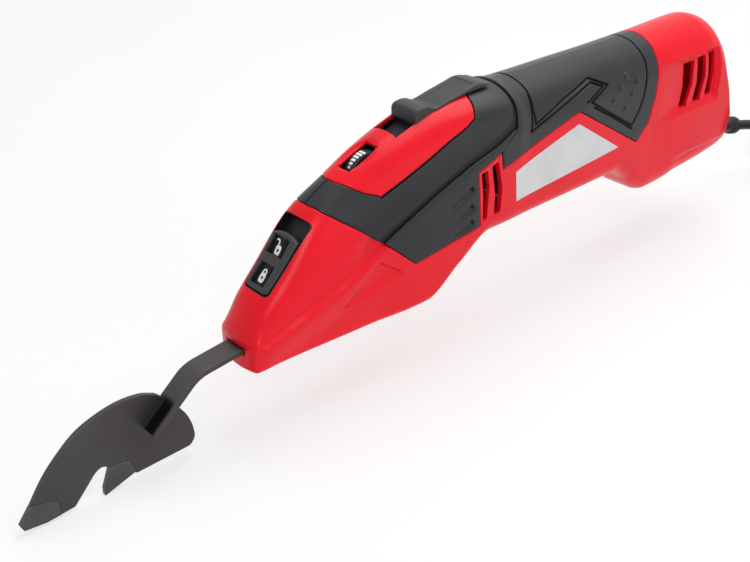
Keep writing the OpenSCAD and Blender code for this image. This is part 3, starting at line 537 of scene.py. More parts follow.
def cutMesh(mesh, cutters):
    # takes closed shapes out of a closed mesh and gives the mesh that is left
    if not cutters:
        return mesh
    work = addObject("work", mesh)
    tools = [addObject("cutter", closedMesh("cutter", *shape)) for shape in cutters]
    for tool in tools:
        mod = work.modifiers.new("cut", "BOOLEAN")
        mod.operation = "DIFFERENCE"
        mod.solver = "EXACT"
        mod.object = tool
    bpy.context.view_layer.update()
    done = bpy.data.meshes.new_from_object(work.evaluated_get(bpy.context.evaluated_depsgraph_get()))
    for obj in tools + [work]:
        data = obj.data
        bpy.data.objects.remove(obj)
        bpy.data.meshes.remove(data)
    return done


def prismShape(outline, start, end):
    # a flat outline (distance, height) carried across the tool from start to end
    o = np.array(outline, float)
    verts = np.concatenate([np.stack([o[:, 0], 0 * o[:, 0] + y, o[:, 1]], -1) for y in (start, end)])
    return verts, prismFaces(len(o))


def boxShape(low, high):
    x, y, z = np.meshgrid([low[0], high[0]], [low[1], high[1]], [low[2], high[2]], indexing="ij")
    verts = np.stack([x.ravel(), y.ravel(), z.ravel()], -1)
    faces = np.array([[0, 1, 3, 2], [4, 6, 7, 5], [0, 4, 5, 1], [2, 3, 7, 6], [0, 2, 6, 4], [1, 5, 7, 3]])
    return verts, faces


def easedCorner(a, b, c, r, steps):
    # a curve in place of corner b that touches its sides towards a and c, each at r from the corner
    ua, uc = (a - b) / np.linalg.norm(a - b), (c - b) / np.linalg.norm(c - b)
    s = np.linspace(0, 1, steps)[:, None]
    return (1 - s) ** 2 * (b + ua * r) + 2 * s * (1 - s) * b + s**2 * (b + uc * r)


def roundedOutline(points, r, steps=5):
    p = np.array(points, float)
    return np.concatenate([easedCorner(*abc, r, steps) for abc in zip(np.roll(p, 1, 0), p, np.roll(p, -1, 0))])


# red shells
shellLines = {
    "collarLow": [(87.4, 26.1), (106.3, 29.1), (125, 31.2), (129.0, 31.5)],
    "ventFront": [(124.8, 61.6), (129.0, 31.5)],
    "ventBack": [(139.4, 67.2), (141.4, 58), (144, 34), (144, keel)],
    "gripLow": [(141.4, 58), (198.3, 71.2), (223.5, 55.4), (250.5, 38.4)],
    "gripBack": [(265.5, crown), (263.9, 73.1), (263.6, 61.5), (259.8, 47), (250.5, 38.4)],
    "nosePanel": [(46.0, 18.8), (65.7, 35.0), (80.2, 24.6), (50.0, 17.2)],
    "noseCrease": [(0, 5.5), (50, 17.1), (80.2, 24.5), (95, 28)],
    "ledgeHigh": [(0, 12.8), (9.5, 16.7), (17.9, 20.0), (25.9, 23.7), (34.4, 26.7), (43.3, 30.2), (51.8, 34.6),
                  (60.7, 39.7), (72, 45.5)],
    "ledgeLow": [(0, 11.0), (9.5, 14.1), (17.4, 17.1), (25.9, 20.7), (34.4, 23.7), (43.3, 27.5), (51.8, 31.2),
                 (60.7, 35.6), (72, 41.0)],
    "rearRecess": [(255.0, 76.2), (316.6, 76.6), (320.4, 61.5), (321.4, 43.8), (255.0, 43.8)],
    "rearCrease": [(284, 16.4), (305, 17.6), (348, 16.6)],
    "ventPanel": [(126.0, 60.6), (138.0, 65.0), (142.8, 34.2), (129.6, 32.8)],
    "rearSlots": [[(287.3, 73.2), (296.7, 73.4), (298.0, 59.0), (294.7, 46.9), (288.3, 47.4), (289.3, 59.0)],
                  [(299.6, 73.8), (306.6, 74.2), (309.6, 60.8), (307.0, 47.4), (300.2, 47.8), (301.9, 59.0)],
                  [(309.4, 74.4), (314.6, 74.6), (317.0, 62.0), (317.2, 48.6), (311.2, 48.6), (312.4, 59.6)]],
    "frontSlots": [[(126.8, 60.6), (131.0, 61.4), (133.2, 51.6), (133.2, 34.4), (130.2, 34.0), (129.2, 48.1)],
                   [(133.8, 62.4), (137.8, 63.6), (142.1, 48.6), (142.2, 35.0), (138.0, 34.6), (137.6, 46.0)]],
}
shellValues = {"deep": 2.8, "thinner": 1.0, "thicker": 1.8, "capDeep": 2.6, "rim": 0.6, "slotRound": 0.6,
               "slotRun": (10, 40), "bow": 2.6, "bowHalf": 14.0, "bowBack": 14.0, "ledge": 0.95, "panel": 1.8,
               "flare": 0.04, "vent": 0.35, "recess": 2.6, "step": 0.8, "bladeSlot": (6.7, 2.1), "reliefHole": 5.3}


def noseDips(p):
    # a ledge runs along the side: the crown stands back above it, the side stands out below it; a panel is let in
    v, x, z = shellValues, p[..., 0], p[..., 2]
    high, low, foot = (lineAt(shellLines[k], x) for k in ("ledgeHigh", "ledgeLow", "noseCrease"))
    step = np.clip((z - low) / (high - low), 0, 1)
    inset = 0.3 + 0.7 * smoothStep(45, 70, x)
    above = inset * step * (1 - smoothStep(high, high + 15, z))
    below = (1 - inset) * (1 - step) * smoothStep(low - 16, low, z)
    ledge = v["ledge"] * (high - low) * (above - below) * smoothStep(-1, 6, x)
    panel = np.minimum(smoothStep(-0.3, 0.9, insideOf(p, shellLines["nosePanel"])), np.clip((z - foot) / 2.4, 0, 1))
    return ledge + v["panel"] * panel + v["flare"] * np.maximum(foot - z, 0) * smoothStep(88, 62, x)


def ventDips(p):
    # the field round the front slots is let in
    return shellValues["vent"] * smoothStep(0.0, 0.7, insideOf(p, shellLines["ventPanel"]))


def rearDips(p):
    # the recess deepens towards the slots under a sharp upper edge, and ends in a long ramp; a step runs along below
    v, x, z = shellValues, p[..., 0], p[..., 2]
    foot = shellLines["rearRecess"][-1][1]
    recess = np.minimum(smoothStep(-0.3, 0.7, insideOf(p, shellLines["rearRecess"])), np.clip((z - foot) / 4.6, 0, 1))
    recess = recess * smoothStep(264, 288, x)
    crease = lineAt(shellLines["rearCrease"], x)
    step = smoothStep(crease + 0.4, crease - 0.4, z) * smoothStep(284, 296, x)
    return v["recess"] * recess + v["step"] * step * smoothStep(1.5, 6, z)


def noseBow(p):
    # the nose's end face bows forward in the middle, and the walls behind it follow for a short way
    v = shellValues
    bow = v["bow"] * (1 - np.minimum(np.abs(p[..., 1]) / v["bowHalf"], 1) ** 2) * smoothStep(v["bowBack"], 0, p[..., 0])
    return p - bow[..., None] * np.array([1, 0, 0])


def rimAbove(height):
    # rounded only above a height, so that patches of one wall meet flush below it
    return lambda p: shellValues["rim"] * smoothStep(height - 1.0, height + 1.0, p[..., 2])


def collarEdge(shift):
    # front edge of the collar from the crown down to its groove
    upper = throughPoints([(40.3, 0), (40.6, 4.0), (42.8, 9.5), (48.3, 13.6), (54.8, 16.5)], 10) + [shift, 0]
    lower = [(54.8 + shift, 54.9), (61.7 + shift, 49.4), (66.2 + shift, 45.6)]
    return np.concatenate([topCurve(upper), sideCurve(lower)[1:]])


def shellPatches():
    s, v = shellLines, shellValues
    noseBack = np.concatenate([collarEdge(0), sideCurve([(66.2, 45.6), (77.7, 35.2), (87.4, 26.1), (88, keel)])[1:]])
    return {
        "nose": {
            "top": [(0, crown), (40.3, crown)], "low": [(0, keel), (88, keel)],
            "front": [(0, crown), (0, keel)], "back": noseBack, "count": (100, 118), "deep": v["deep"],
            "rims": (0, rimAbove(26.5), 0.05, 0.05), "edge": 0.02, "shape": noseBow, "dips": noseDips},
        "underCollar": {
            "top": s["collarLow"], "low": [(88, keel), (129.5, keel)],
            "front": [(87.4, 26.1), (88, keel)], "back": [(129.0, 31.5), (129.5, keel)],
            "count": (44, 40), "deep": v["deep"] - v["thinner"], "rims": (0, 0, 0.6, 0.2)},
        "vents": {
            "top": [(124.8, 61.6), (139.4, 67.2)], "low": [(129.5, keel), (144, keel)],
            "front": s["ventFront"] + [(129.5, keel)], "back": s["ventBack"], "count": (34, 90), "deep": v["deep"],
            "rims": (rimAbove(32), 0, 0.6, 0.2), "edge": 0.03, "dips": ventDips},
        "underGrip": {
            "top": s["gripLow"], "low": [(144, keel), (250.5, keel)],
            "front": [(141.4, 58), (144, 34), (144, keel)], "back": [(250.5, 38.4), (250.5, keel)],
            "count": (80, 44), "deep": v["deep"], "rims": (0, 0, 0.6, 0.25)},
        "rear": {
            "top": [(265.5, crown), (348, crown)], "low": [(250.5, keel), (348, keel)],
            "front": s["gripBack"] + [(250.5, keel)], "back": [(348, crown), (348, keel)],
            "count": (108, 116), "deep": v["deep"] + v["thicker"], "rims": (rimAbove(39.5), 0, 0.05, 0.05),
            "edge": 0.02, "dips": rearDips},
    }


def capHole(row, height, reach):
    # outline of the hole seen at the same angle as each rim point, from the hole's middle
    a = np.arctan2(row[:, 2] - height, row[:, 1])
    r = reach(a)
    return np.stack([row[:, 0], r * np.cos(a), height + r * np.sin(a)], -1)


def slotReach(a):
    # distance to a flat slot's wall: the nearer of its side and its top or bottom
    half, tall = shellValues["bladeSlot"]
    return np.minimum(half / np.maximum(np.abs(np.cos(a)), 1e-6), tall / np.maximum(np.abs(np.sin(a)), 1e-6))


def reliefReach(a):
    return shellValues["reliefHole"] + 0 * a


shellCaps = {"nose": {"row": 0, "height": 10.17, "reach": slotReach, "outward": (-1, 0, 0), "shape": noseBow},
             "rear": {"row": -1, "height": 13.9, "reach": reliefReach, "outward": (1, 0, 0)}}


def endCap(upper, v):
    # the end face runs from the rim row to the outline of the hole in it
    row = upper[v["row"]]
    s = np.linspace(0, 1, 10)[:, None, None]
    p = row[None] * (1 - s) + capHole(row, v["height"], v["reach"])[None] * s
    if "shape" in v:
        p = v["shape"](p * [0, 1, 1])
    return solidFromGrid(p, np.array(v["outward"], float), shellValues["capDeep"], (0, 0.3, 0, 0))[:2]


# opening for the blade lock on the sloping nose
lockValues = {
    "start": (8.0, 30.5), "angle": 47.976, "from": 4.5, "length": 28.9, "half": (7.9, 8.9), "travel": 7.5,
    "proud": 0.5, "deep": 4.4, "rims": (0.8, 1.8, 0.7, 0.7), "arch": 1.8, "corner": 1.3, "play": 0.4, "spare": 0.35,
    "round": 2.6, "frame": 0.5, "frameFit": 0.02, "frameLow": 0.2, "slot": (9.0, 31.8, 5.3), "slotRound": 1.0,
    "floor": (-5.5, -5.9), "cut": (-7, 7),
    "neck": ((9.3, -5.0, -7.0), (24.0, 5.0, -3.2)), "sill": ((1.4, -6.0, -6.6), (24.2, 6.0, -6.1))}
slopeAlong = np.array([np.cos(radians(lockValues["angle"])), 0, np.sin(radians(lockValues["angle"]))])
slopeUp = np.array([-slopeAlong[2], 0, slopeAlong[0]])
slopeStart = np.array([lockValues["start"][0], 0, lockValues["start"][1]])


def onSlope(a, b, n):
    # along the sloping nose, across it, and up from it
    return slopeStart + a[..., None] * slopeAlong + b[..., None] * np.array([0, 1, 0]) + n[..., None] * slopeUp


def slopeLevel(outline, n):
    # an outline on the slope, n up from it
    return onSlope(outline[:, 0], outline[:, 1], 0 * outline[:, 0] + n)


def slopeSurface(a, b):
    # the body's own surface square above a place on the sloping nose, found in a few steps
    n = 0 * a
    for k in range(5):
        x = slopeStart[0] + a * slopeAlong[0] + n * slopeUp[0]
        p = bodyAt(x, shareAtWidth(x.ravel(), np.abs(b).ravel()).reshape(x.shape) * np.where(b < 0, -1, 1))
        n = (p - slopeStart) @ slopeUp
    return p


def lockOutline(grow):
    # the slider with all its travel, larger by its play and by grow
    v = lockValues
    low, high = v["from"] - v["play"] - grow, v["from"] + v["length"] + v["travel"] + v["play"] + grow
    a, b = (h + v["play"] + grow for h in (v["half"][0], v["half"][1] + v["spare"]))
    return roundedOutline([(low, -a), (high, -b), (high, b), (low, a)], v["round"], 8)


def lockCutter():
    o = lockOutline(lockValues["frame"])
    return np.concatenate([slopeLevel(o, n) for n in lockValues["cut"]]), prismFaces(len(o))


def sideCutters(outlines, sign):
    # slots through one side of the body
    near, far = shellValues["slotRun"]
    return [prismShape(roundedOutline(o, shellValues["slotRound"], 4), sign * near, sign * far) for o in outlines]


def shellPiece(side, sign):
    meshes, mirror = [], [1, sign, 1]
    cuts = {"nose": [lockCutter()], "vents": sideCutters(shellLines["frontSlots"], sign),
            "rear": sideCutters(shellLines["rearSlots"], sign)}
    for key, values in shellPatches().items():
        verts, faces, upper = skinPatch(values)
        meshes.append(cutMesh(closedMesh("patch", verts * mirror, faces), cuts.get(key)))
        if key in shellCaps:
            verts, faces = endCap(upper, shellCaps[key])
            meshes.append(closedMesh("cap", verts * mirror, faces))
    makePiece("shell" + side.capitalize(), meshes, "redPlastic", "housing", ("shell_" + side,))


for side, sign in sides:
    shellPiece(side, sign)
print("shells formed")

# soft collar
collarDeep = 1.6
ribLines = np.array([[(104.5, 47.2), (120.8, 56.0)], [(108.0, 38.4), (121.6, 46.4)], [(107.5, 30.9), (122.4, 37.8)]])
ribValues = {"deep": 1.5, "run": 5.0, "seamDark": 0.9, "seamHalf": 0.45, "seamEnd": 54.5}


def ribPlace(p, a, b):
    # share along a rib line and distance below it
    d = (b - a) / np.linalg.norm(b - a)
    q = p[..., [0, 2]] - a
    return (q @ d) / np.linalg.norm(b - a), q @ np.array([d[1], -d[0]])


def ribDips(p):
    # three shingles: each drops sharply at its line and comes back over a short run, deeper towards the air slots
    total = 0 * p[..., 0]
    for a, b in ribLines:
        along, below = ribPlace(p, a, b)
        band = smoothStep(0, 0.5, below) * np.clip(1 - below / ribValues["run"], 0, 1)
        total = np.maximum(total, ribValues["deep"] * band * np.clip(along, 0, 1) * smoothStep(1.03, 1.0, along))
    return total


def ribShade(p):
    # painted shade: a dark line under each shingle and at its blunt end, and along the seam in front
    total = 0 * p[..., 0]
    for a, b in ribLines:
        along, below = ribPlace(p, a, b)
        line = np.exp(-(((below - 0.4) / 0.5) ** 2)) * smoothStep(0, 0.35, along) * (along < 1)
        end = np.exp(-(((along - 0.99) / 0.035) ** 2)) * smoothStep(-0.3, 0.4, below) * smoothStep(4.2, 2.6, below)
        total = np.maximum(total, np.maximum(line, end))
    v = ribValues
    seam = v["seamDark"] * np.exp(-((p[..., 1] / v["seamHalf"]) ** 2)) * (p[..., 0] < v["seamEnd"])
    return np.maximum(total, seam)


collarLines = {
    "grooveLow": [(69.0, 43.5), (81.6, 50.0), (98.6, 58.0), (107.5, 61.8), (122.4, 67.5)],
    "grooveHigh": [(66.5, 46.2), (73.7, 49.5), (82.1, 53.6), (90.6, 57.4), (99.1, 61.3), (108.0, 65.0),
                   (117.0, 68.9), (126.0, 72.1), (133.9, 74.6), (142.4, 77.8), (148.0, 81.3)],
}
insertLines = {
    "front": [(54.1, 0), (54.5, 4.0), (58.2, 9.5), (63.2, 13.5), (70.7, 16.8)],
    "side": [(70.7, 16.8), (85.0, 17.9), (102.0, 18.7), (119.0, 18.9), (127.4, 18.0)],
    "back": [(133.0, 0), (132.6, 5), (131.4, 9.4), (129.8, 14.4), (127.4, 18.0)],
}


def besideInsert(key, shift):
    # the insert's edge as a smooth top view line, moved out a little for the collar
    return topCurve(throughPoints(np.array(insertLines[key]) + shift, 10))


def between(a, b):
    # straight run between two (distance, share) points
    s = np.linspace(0, 1, 30)[:, None]
    return a + (b - a) * s


collarPatches = {
    "cheek": {
        "top": collarLines["grooveLow"], "low": [(87.4, 26.3), (106.3, 29.3), (125, 31.4), (128.7, 31.7)],
        "front": [(69.0, 43.5), (77.9, 35.4), (87.4, 26.3)], "back": [(122.4, 67.5), (124.4, 61.8), (128.7, 31.7)],
        "count": (96, 80), "rims": (0.6, lambda p: 0.5 * smoothStep(62.6, 61.2, p[..., 2]), 0.7, 0.6), "dips": ribDips},
    "spur": {
        "top": [(122.4, 67.5), (134.9, 70.9), (138.9, 72.2), (149.2, 76.3)],
        "low": [(124.4, 61.8), (139.2, 67.5), (149.9, 76.2)],
        "front": [(122.4, 67.5), (124.4, 61.8)], "back": [(149.2, 76.3), (149.9, 76.2)],
        "count": (50, 16), "rims": (0, 0, 0.7, 0.5), "edge": 0.05},
    "brow": {
        "top": [(40.5, crown), (53.8, crown)], "front": collarEdge(0.2), "back": besideInsert("front", (-0.3, 0)),
        "count": (34, 70), "rims": (0.7, 0.5, 0.6, 0), "edge": 0.03},
    "flank": {
        "top": besideInsert("side", (0, 0.3)), "low": sideCurve(collarLines["grooveHigh"]),
        "count": (110, 40), "rims": (0, 0, 0.5, 0.7), "edge": 0.03},
    "tail": {
        "top": [(133.3, crown), (152.4, crown)], "front": besideInsert("back", (0.3, 0)),
        "back": sideCurve([(152.4, crown), (151.9, 89.7), (150.4, 85.6), (148.0, 81.3)]),
        "count": (40, 60), "rims": (0.5, 0.9, 0.2, 0), "edge": 0.03},
}
# the flank's ends are straight, and brow and tail meet them
brow, flank, tail = (collarPatches[k] for k in ("brow", "flank", "tail"))
flank["front"], flank["back"] = (between(flank["top"][k], flank["low"][k]) for k in (0, -1))
brow["back"][-1], tail["front"][-1] = flank["top"][0], flank["top"][-1]
for one in (brow, tail):
    one["low"] = between(one["front"][-1], one["back"][-1])
collarVerts, collarFaces = joinParts([skinPatch({**v, "deep": collarDeep})[:2] for v in collarPatches.values()])
bothHalves("collar", collarVerts, collarFaces, "softGrip", "soft_grip", ribShade(collarVerts))
print("collar formed")

# soft grip
gripValues = {
    "lines": [[(166.9, 100), (166.8, 89.0), (166.3, 86.5), (164.8, 80.9), (164.8, 74.2)],
              [(164.8, 74.2), (185.7, 80.1), (209.1, 84.9), (221.5, 78.8), (207.6, 73.6), (225.5, 62.1),
               (244.2, 50.3)],
              [(244.2, 50.3), (249.4, 57.0), (252.4, 64.9), (253.4, 73.8), (254.4, 81.3), (255.0, 100)],
              [(165.8, 87.1), (163.4, 80.6), (161.3, 71.5), (185.7, 77.4), (209.6, 82.8), (217.6, 79.1),
               (204.1, 74.3)],
              [(210.1, 70.2), (227.0, 59.9), (244.4, 48.4)]],
    "nubs": [(226.0, 69.5), (237.0, 61.9), (241.5, 68.7), (231.5, 74.6), (245.4, 74.6), (236.5, 79.7)],
    "deep": 0.7, "wide": 0.55, "nubHigh": 0.85, "nubWide": 1.6, "darkAt": 0.4,
}


def gripDips(p):
    # fine grooves along the drawn lines, and round nubs that stand proud
    v, total = gripValues, 0 * p[..., 0]
    for line in v["lines"]:
        total = np.maximum(total, v["deep"] * np.exp(-((lineDistance(p, line) / v["wide"]) ** 2)))
    for x, z in v["nubs"]:
        total = total - v["nubHigh"] * np.exp(-((np.hypot(p[..., 0] - x, p[..., 2] - z) / v["nubWide"]) ** 4))
    return total


gripPatch = {
    "top": [(154.8, crown), (265.1, crown)], "low": [(141.8, 58.3), (198.3, 71.5), (223.5, 55.7), (250.5, 38.7)],
    "front": [(154.8, crown), (154.0, 88.2), (152.7, 83.1), (151.6, 79.4), (150.9, 76.7), (140.3, 68.3),
              (141.8, 58.3)],
    "back": [(265.1, crown), (263.5, 73.1), (263.2, 61.5), (259.4, 47), (250.5, 38.7)],
    "count": (240, 150), "deep": 1.6, "rims": (0.9, 0.6, 0.25, 0.6), "dips": gripDips}
gripVerts, gripFaces = skinPatch(gripPatch)[:2]
# painted shade: the grooves are darkened by their depth, and the nubs get none
gripDepth = np.clip(gripDips(gripVerts) / gripValues["darkAt"], 0, 1)
gripDepth[len(gripDepth) // 2:] = 0  # the twin grid below stays plain
bothHalves("grip", gripVerts, gripFaces, "softGrip", "soft_grip", gripDepth)
print("grip formed")

# labels, left bare
labelPatch = {
    "top": [(151.4, 53.6), (198.5, 64.6)], "low": [(153.6, 36.8), (234.5, 40.6)],
    "front": [(151.4, 53.6), (153.6, 36.8)], "back": [(198.5, 64.6), (234.5, 40.6)],
    "count": (70, 34), "deep": 0.55, "rims": (0.12, 0.12, 0.12, 0.12), "edge": 0.006, "dips": lambda p: -0.16}
bothHalves("label", *skinPatch(labelPatch)[:2], "labelFoil", "label_foil")
print("labels laid on")

# red insert on the top
insertValues = {"dialWindow": (61.6, 79.0, -5.4, 2.6), "switchSlot": (87.6, 114.0, -7.8, 7.8), "through": (60, 110),
                "play": 0.4, "shutterRoom": 6.0, "scoop": 0.9,
                "scoopAt": (70.5, -0.6), "scoopSize": (11.0, 7.4), "wayLow": 0.3}
slideFloor = [(99.2, 88.8), (103.0, 90.0), (107.9, 91.6), (113.0, 92.4), (117.8, 93.2), (122.0, 94.0),
              (127.0, 94.7), (133.0, 95.3), (147.4, 95.7)]


def insertDips(p):
    # a shallow finger scoop round the dial window, and a flat way under the slide switch
    v, x, y, z = insertValues, p[..., 0], p[..., 1], p[..., 2]
    d = np.hypot(*((p[..., k] - v["scoopAt"][k]) / v["scoopSize"][k] for k in (0, 1)))
    way = lineAt(slideFloor, x) - v["wayLow"]
    flat = np.clip(z - way, 0, 3) * smoothStep(9.2, 8.7, np.abs(y)) * smoothStep(110, 112, x)
    return v["scoop"] * smoothStep(1.0, 0.72, d) + flat


def windowCutters(grow=0.0, ahead=0.0):
    # upright boxes for the dial window and the switch slot, larger by grow; the slot also starts further ahead
    low, high = insertValues["through"]
    boxes = []
    for key, more in (("dialWindow", 0.0), ("switchSlot", ahead)):
        start, end, near, far = insertValues[key]
        boxes.append(boxShape((start - grow - more, near - grow, low), (end + grow, far + grow, high)))
    return boxes


def bothSides(key):
    # an end line of the insert, from its left corner over the middle to its right corner
    half = throughPoints(insertLines[key], 10)
    return topCurve(np.concatenate([half[:0:-1] * [1, -1], half]))


insertPatch = {
    "top": topCurve(throughPoints(np.array(insertLines["side"]) * [1, -1], 10)), "low": besideInsert("side", (0, 0)),
    "front": bothSides("front"), "back": bothSides("back"),
    "count": (120, 76), "deep": 1.6, "rims": (0.9, 0.9, 0.9, 0.9), "edge": 0.02, "dips": insertDips}
insertMesh = cutMesh(closedMesh("insert", *skinPatch(insertPatch)[:2]), windowCutters())
makePiece("topInsert", [insertMesh], "redPlastic", "housing", ("top_insert",))

# black bed under the grooves round the insert
bedPatch = {
    "top": [(43.5, crown), (156.5, crown)],
    "low": [(60.0, 50.0), (70.0, 42.5), (107.0, 58.5), (127.0, 65.8), (152.0, 76.0)],
    "front": [(43.5, crown), (50.0, 61.0), (60.0, 50.0)],
    "back": [(156.5, crown), (155.6, 88), (154.2, 82), (152.0, 76.0)],
    "count": (60, 40), "deep": 2.6, "rims": (0, 0, 0, 0), "dips": lambda p: 1.75}
bedVerts, bedFaces = skinPatch(bedPatch)[:2]
bedCutters = windowCutters(insertValues["play"], insertValues["shutterRoom"])
bedMeshes = [cutMesh(closedMesh("bed", bedVerts * [1, sign, 1], bedFaces), bedCutters) for side, sign in sides]
makePiece("grooveBed", bedMeshes, "blackPlastic", "housing")
print("insert formed")

# blade lock: two dished pads on a crowned slider
padValues = {"rows": 96, "columns": 48, "pads": [(6.6, 17.6, -4.2, 6.6), (21.4, 31.0, -5.0, 7.2)], "depth": 1.9}


def padDip(a, pad):
    # deeper towards the pad's lower end
    return padValues["depth"] * (0.6 + 0.4 * (pad[1] - a) / (pad[1] - pad[0]))


def lockSlider(v, pad):
    # follows the nose, round at its lower corners, wider and arched at its upper end; two pads sink with a soft rim,
    # and get painted shade that is lighter along a painted strip across them
    s, w = np.meshgrid(spread(pad["rows"], 0.03), 2 * spread(pad["columns"], 0.05) - 1, indexing="ij")
    a = v["from"] + v["corner"] * w**8 * (1 - s) + s * (v["length"] - v["arch"] * w**2)
    b = w * (v["half"][0] + s * (v["half"][1] - v["half"][0]))
    dip = 0 * a
    for one in pad["pads"]:
        inner = np.minimum(np.minimum(a - one[0], one[1] - a), np.minimum(b - one[2], one[3] - b))
        dip = dip + padDip(a, one) * smoothStep(0.0, 1.0, inner)
    p = slopeSurface(a, b) + v["proud"] * slopeUp
    verts, faces = solidFromGrid(p, slopeUp, v["deep"], v["rims"], dip)[:2]
    # painted shade in the pads by their depth, with a painted lit strip along their middle
    shade = np.clip(dip / 1.1, 0, 1) * (0.95 - 0.3 * np.exp(-(((b - 0.6) / 2.2) ** 2)))
    return verts, faces, np.concatenate([shade.ravel(), 0 * shade.ravel()])


lockVerts, lockFaces, lockShade = lockSlider(lockValues, padValues)
# the neck goes down through the tray's slot, and the sill keeps that slot shut from below wherever the slider is
inner = [boxShape(*lockValues[k]) for k in ("neck", "sill")]
lockVerts, lockFaces = joinParts([(lockVerts, lockFaces)] + [(onSlope(*v.T), f) for v, f in inner])
lockMesh = closedMesh("slider", lockVerts, lockFaces)
slider = makePiece("lockSlider", [lockMesh], "switchPlastic", "blade_lock", ("lock_slider",))
# painted shade: the pads as above, and the neck and sill fully dark
shadeGrooves(slider, np.concatenate([lockShade, np.ones(len(lockVerts) - len(lockShade))]))


def lockFrame(v):
    # a thin tray in the opening: walls level with the crown, and a floor under the slider with a slot for its neck
    start, end, half = v["slot"]
    slot = roundedOutline([(start, -half), (end, -half), (end, half), (start, half)], v["slotRound"], 8)
    outer, inner = lockOutline(v["frame"] - v["frameFit"]), lockOutline(0.0)
    high, low = v["floor"]
    loops = [slopeSurface(o[:, 0], o[:, 1]) - v["frameLow"] * slopeUp for o in (outer, inner)]
    loops += [slopeLevel(o, n) for o, n in ((inner, high), (slot, high), (slot, low), (outer, low))]
    grid = np.stack(loops, 1)
    return grid.reshape(-1, 3), gridFaces(len(grid), len(loops), closeU=True, closeV=True)


makePiece("lockFrame", [closedMesh("frame", *lockFrame(lockValues))], "cordSheath", "housing")
signValues = {"scale": 1.35, "tablet": (1.75, 1.3, 0.55), "hole": 0.55, "band": 0.28, "proud": 0.1, "deep": 0.3,
              "shutBow": (1.6, 0.0, 1.35, 0.85), "openBow": (2.3, 1.5, 1.2, 0.85), "hinge": (1.5, 0.65), "stop": 24,
              "signs": [(10.6, 1.2, 0, False), (24.4, 1.0, 1, True)]}


def flatBand(path, half):
    # a path widened to both sides
    d = np.gradient(path, axis=0)
    side = np.stack([-d[:, 1], d[:, 0]], -1) / np.linalg.norm(d, axis=1)[:, None]
    return np.stack([path - half * side, path + half * side], 1)


def padlockSign(v, along, across, pad, opened):
    # a rounded tablet with a hole in it, and a bow that is either shut or swung up
    t = np.linspace(0, 2 * pi, 48)
    c, s = np.cos(t), np.sin(t)
    wide, tall, square = v["tablet"]
    tablet = np.stack([wide * np.sign(c) * np.abs(c) ** square, tall * np.sign(s) * np.abs(s) ** square], -1)
    hole = np.stack([v["hole"] * c, v["hole"] * s], -1)
    h = np.linspace(-pi / 2, pi / 2, 30)
    x, y, rx, ry = v["openBow" if opened else "shutBow"]
    bow = np.stack([x + rx * np.cos(h), y + ry * np.sin(h)], -1)
    if opened:
        bow = np.concatenate([[v["hinge"]], bow[:v["stop"]]])
    parts = []
    for band in (np.stack([tablet, hole], 1), flatBand(bow, v["band"])):
        a, b = along + v["scale"] * band[..., 0], across + v["scale"] * band[..., 1]
        lift = lockValues["proud"] - padDip(a, padValues["pads"][pad]) + v["proud"]
        upper = slopeSurface(a, b) + lift[..., None] * slopeUp
        parts.append(twinGrid(upper, upper - v["deep"] * slopeUp))
    return joinParts(parts)


signMesh = closedMesh("marks", *joinParts([padlockSign(signValues, *row) for row in signValues["signs"]]))
makePiece("lockMarks", [signMesh], "whitePrint", "blade_lock")
print("blade lock formed")

# slide switch: a high arched lip in front, a scoop behind it and a long flat tail
switchValues = {
    "profile": [(99.2, 93.6), (99.6, 94.6), (100.6, 95.3), (102.6, 95.7), (105.0, 95.7), (107.8, 95.3),
                (109.8, 94.2), (111.6, 93.5), (113.8, 93.7), (117.8, 94.5), (122.0, 95.4), (127.0, 96.2),
                (133.0, 97.3), (137.5, 98.2), (141.0, 98.0), (144.5, 97.1), (147.4, 96.3)],
    "floor": slideFloor, "arch": [(99.2, 0.3), (147.4, 0.4)], "half": 8.3, "range": (99.2, 147.4),
    "panel": (113.5, 138.0, 6.7, 0.5), "rims": (0.5, 0.4, 0.7, 0.7), "least": (0.5, 0.2),
    "stem": ((101.0, -7.2, 80.0), (111.6, 7.2, 91.2)), "shutter": ((90.4, -6.6, -0.9), (101.8, 6.6, 0.0)),
    "shutterLine": [(90.4, 82.2), (101.8, 86.6)]}


def switchSlider(v):
    # height follows the side profile, less an arch across; the tail's panel is let in
    start, end = v["range"]
    x, y = np.meshgrid(start + (end - start) * spread(120, 0.02), v["half"] * (2 * spread(44, 0.05) - 1), indexing="ij")
    low = lineAt(v["floor"], x)
    top = lineAt(v["profile"], x) - lineAt(v["arch"], x) * (y / v["half"]) ** 2
    for k in range(3):  # evens out the profile's corners
        top[1:-1] = (top[:-2] + 2 * top[1:-1] + top[2:]) / 4
    a, b, half, depth = v["panel"]
    top = top - depth * smoothStep(0, 0.7, np.minimum(np.minimum(x - a, b - x), half - np.abs(y)))
    upper = np.stack([x, y, np.maximum(top, low + v["least"][0])], -1)
    upper[..., 2] -= np.max([roundDrop(d, r) for d, r in zip(rimDistance(upper), v["rims"])], axis=0)
    upper[..., 2] = np.maximum(upper[..., 2], low + v["least"][1])
    return twinGrid(upper, np.stack([x, y, low], -1))


switchMesh = closedMesh("slider", *switchSlider(switchValues))
makePiece("switchSlider", [switchMesh], "switchPlastic", "switch", ("switch_slider",))
stem, shutter = boxShape(*switchValues["stem"]), boxShape(*switchValues["shutter"])
shutter[0][:, 2] += lineAt(switchValues["shutterLine"], shutter[0][:, 0])  # slopes down ahead of the lip
makePiece("switchStem", [closedMesh("stem", *joinParts([stem, shutter]))], "blackPlastic", "switch")
print("slide switch formed")

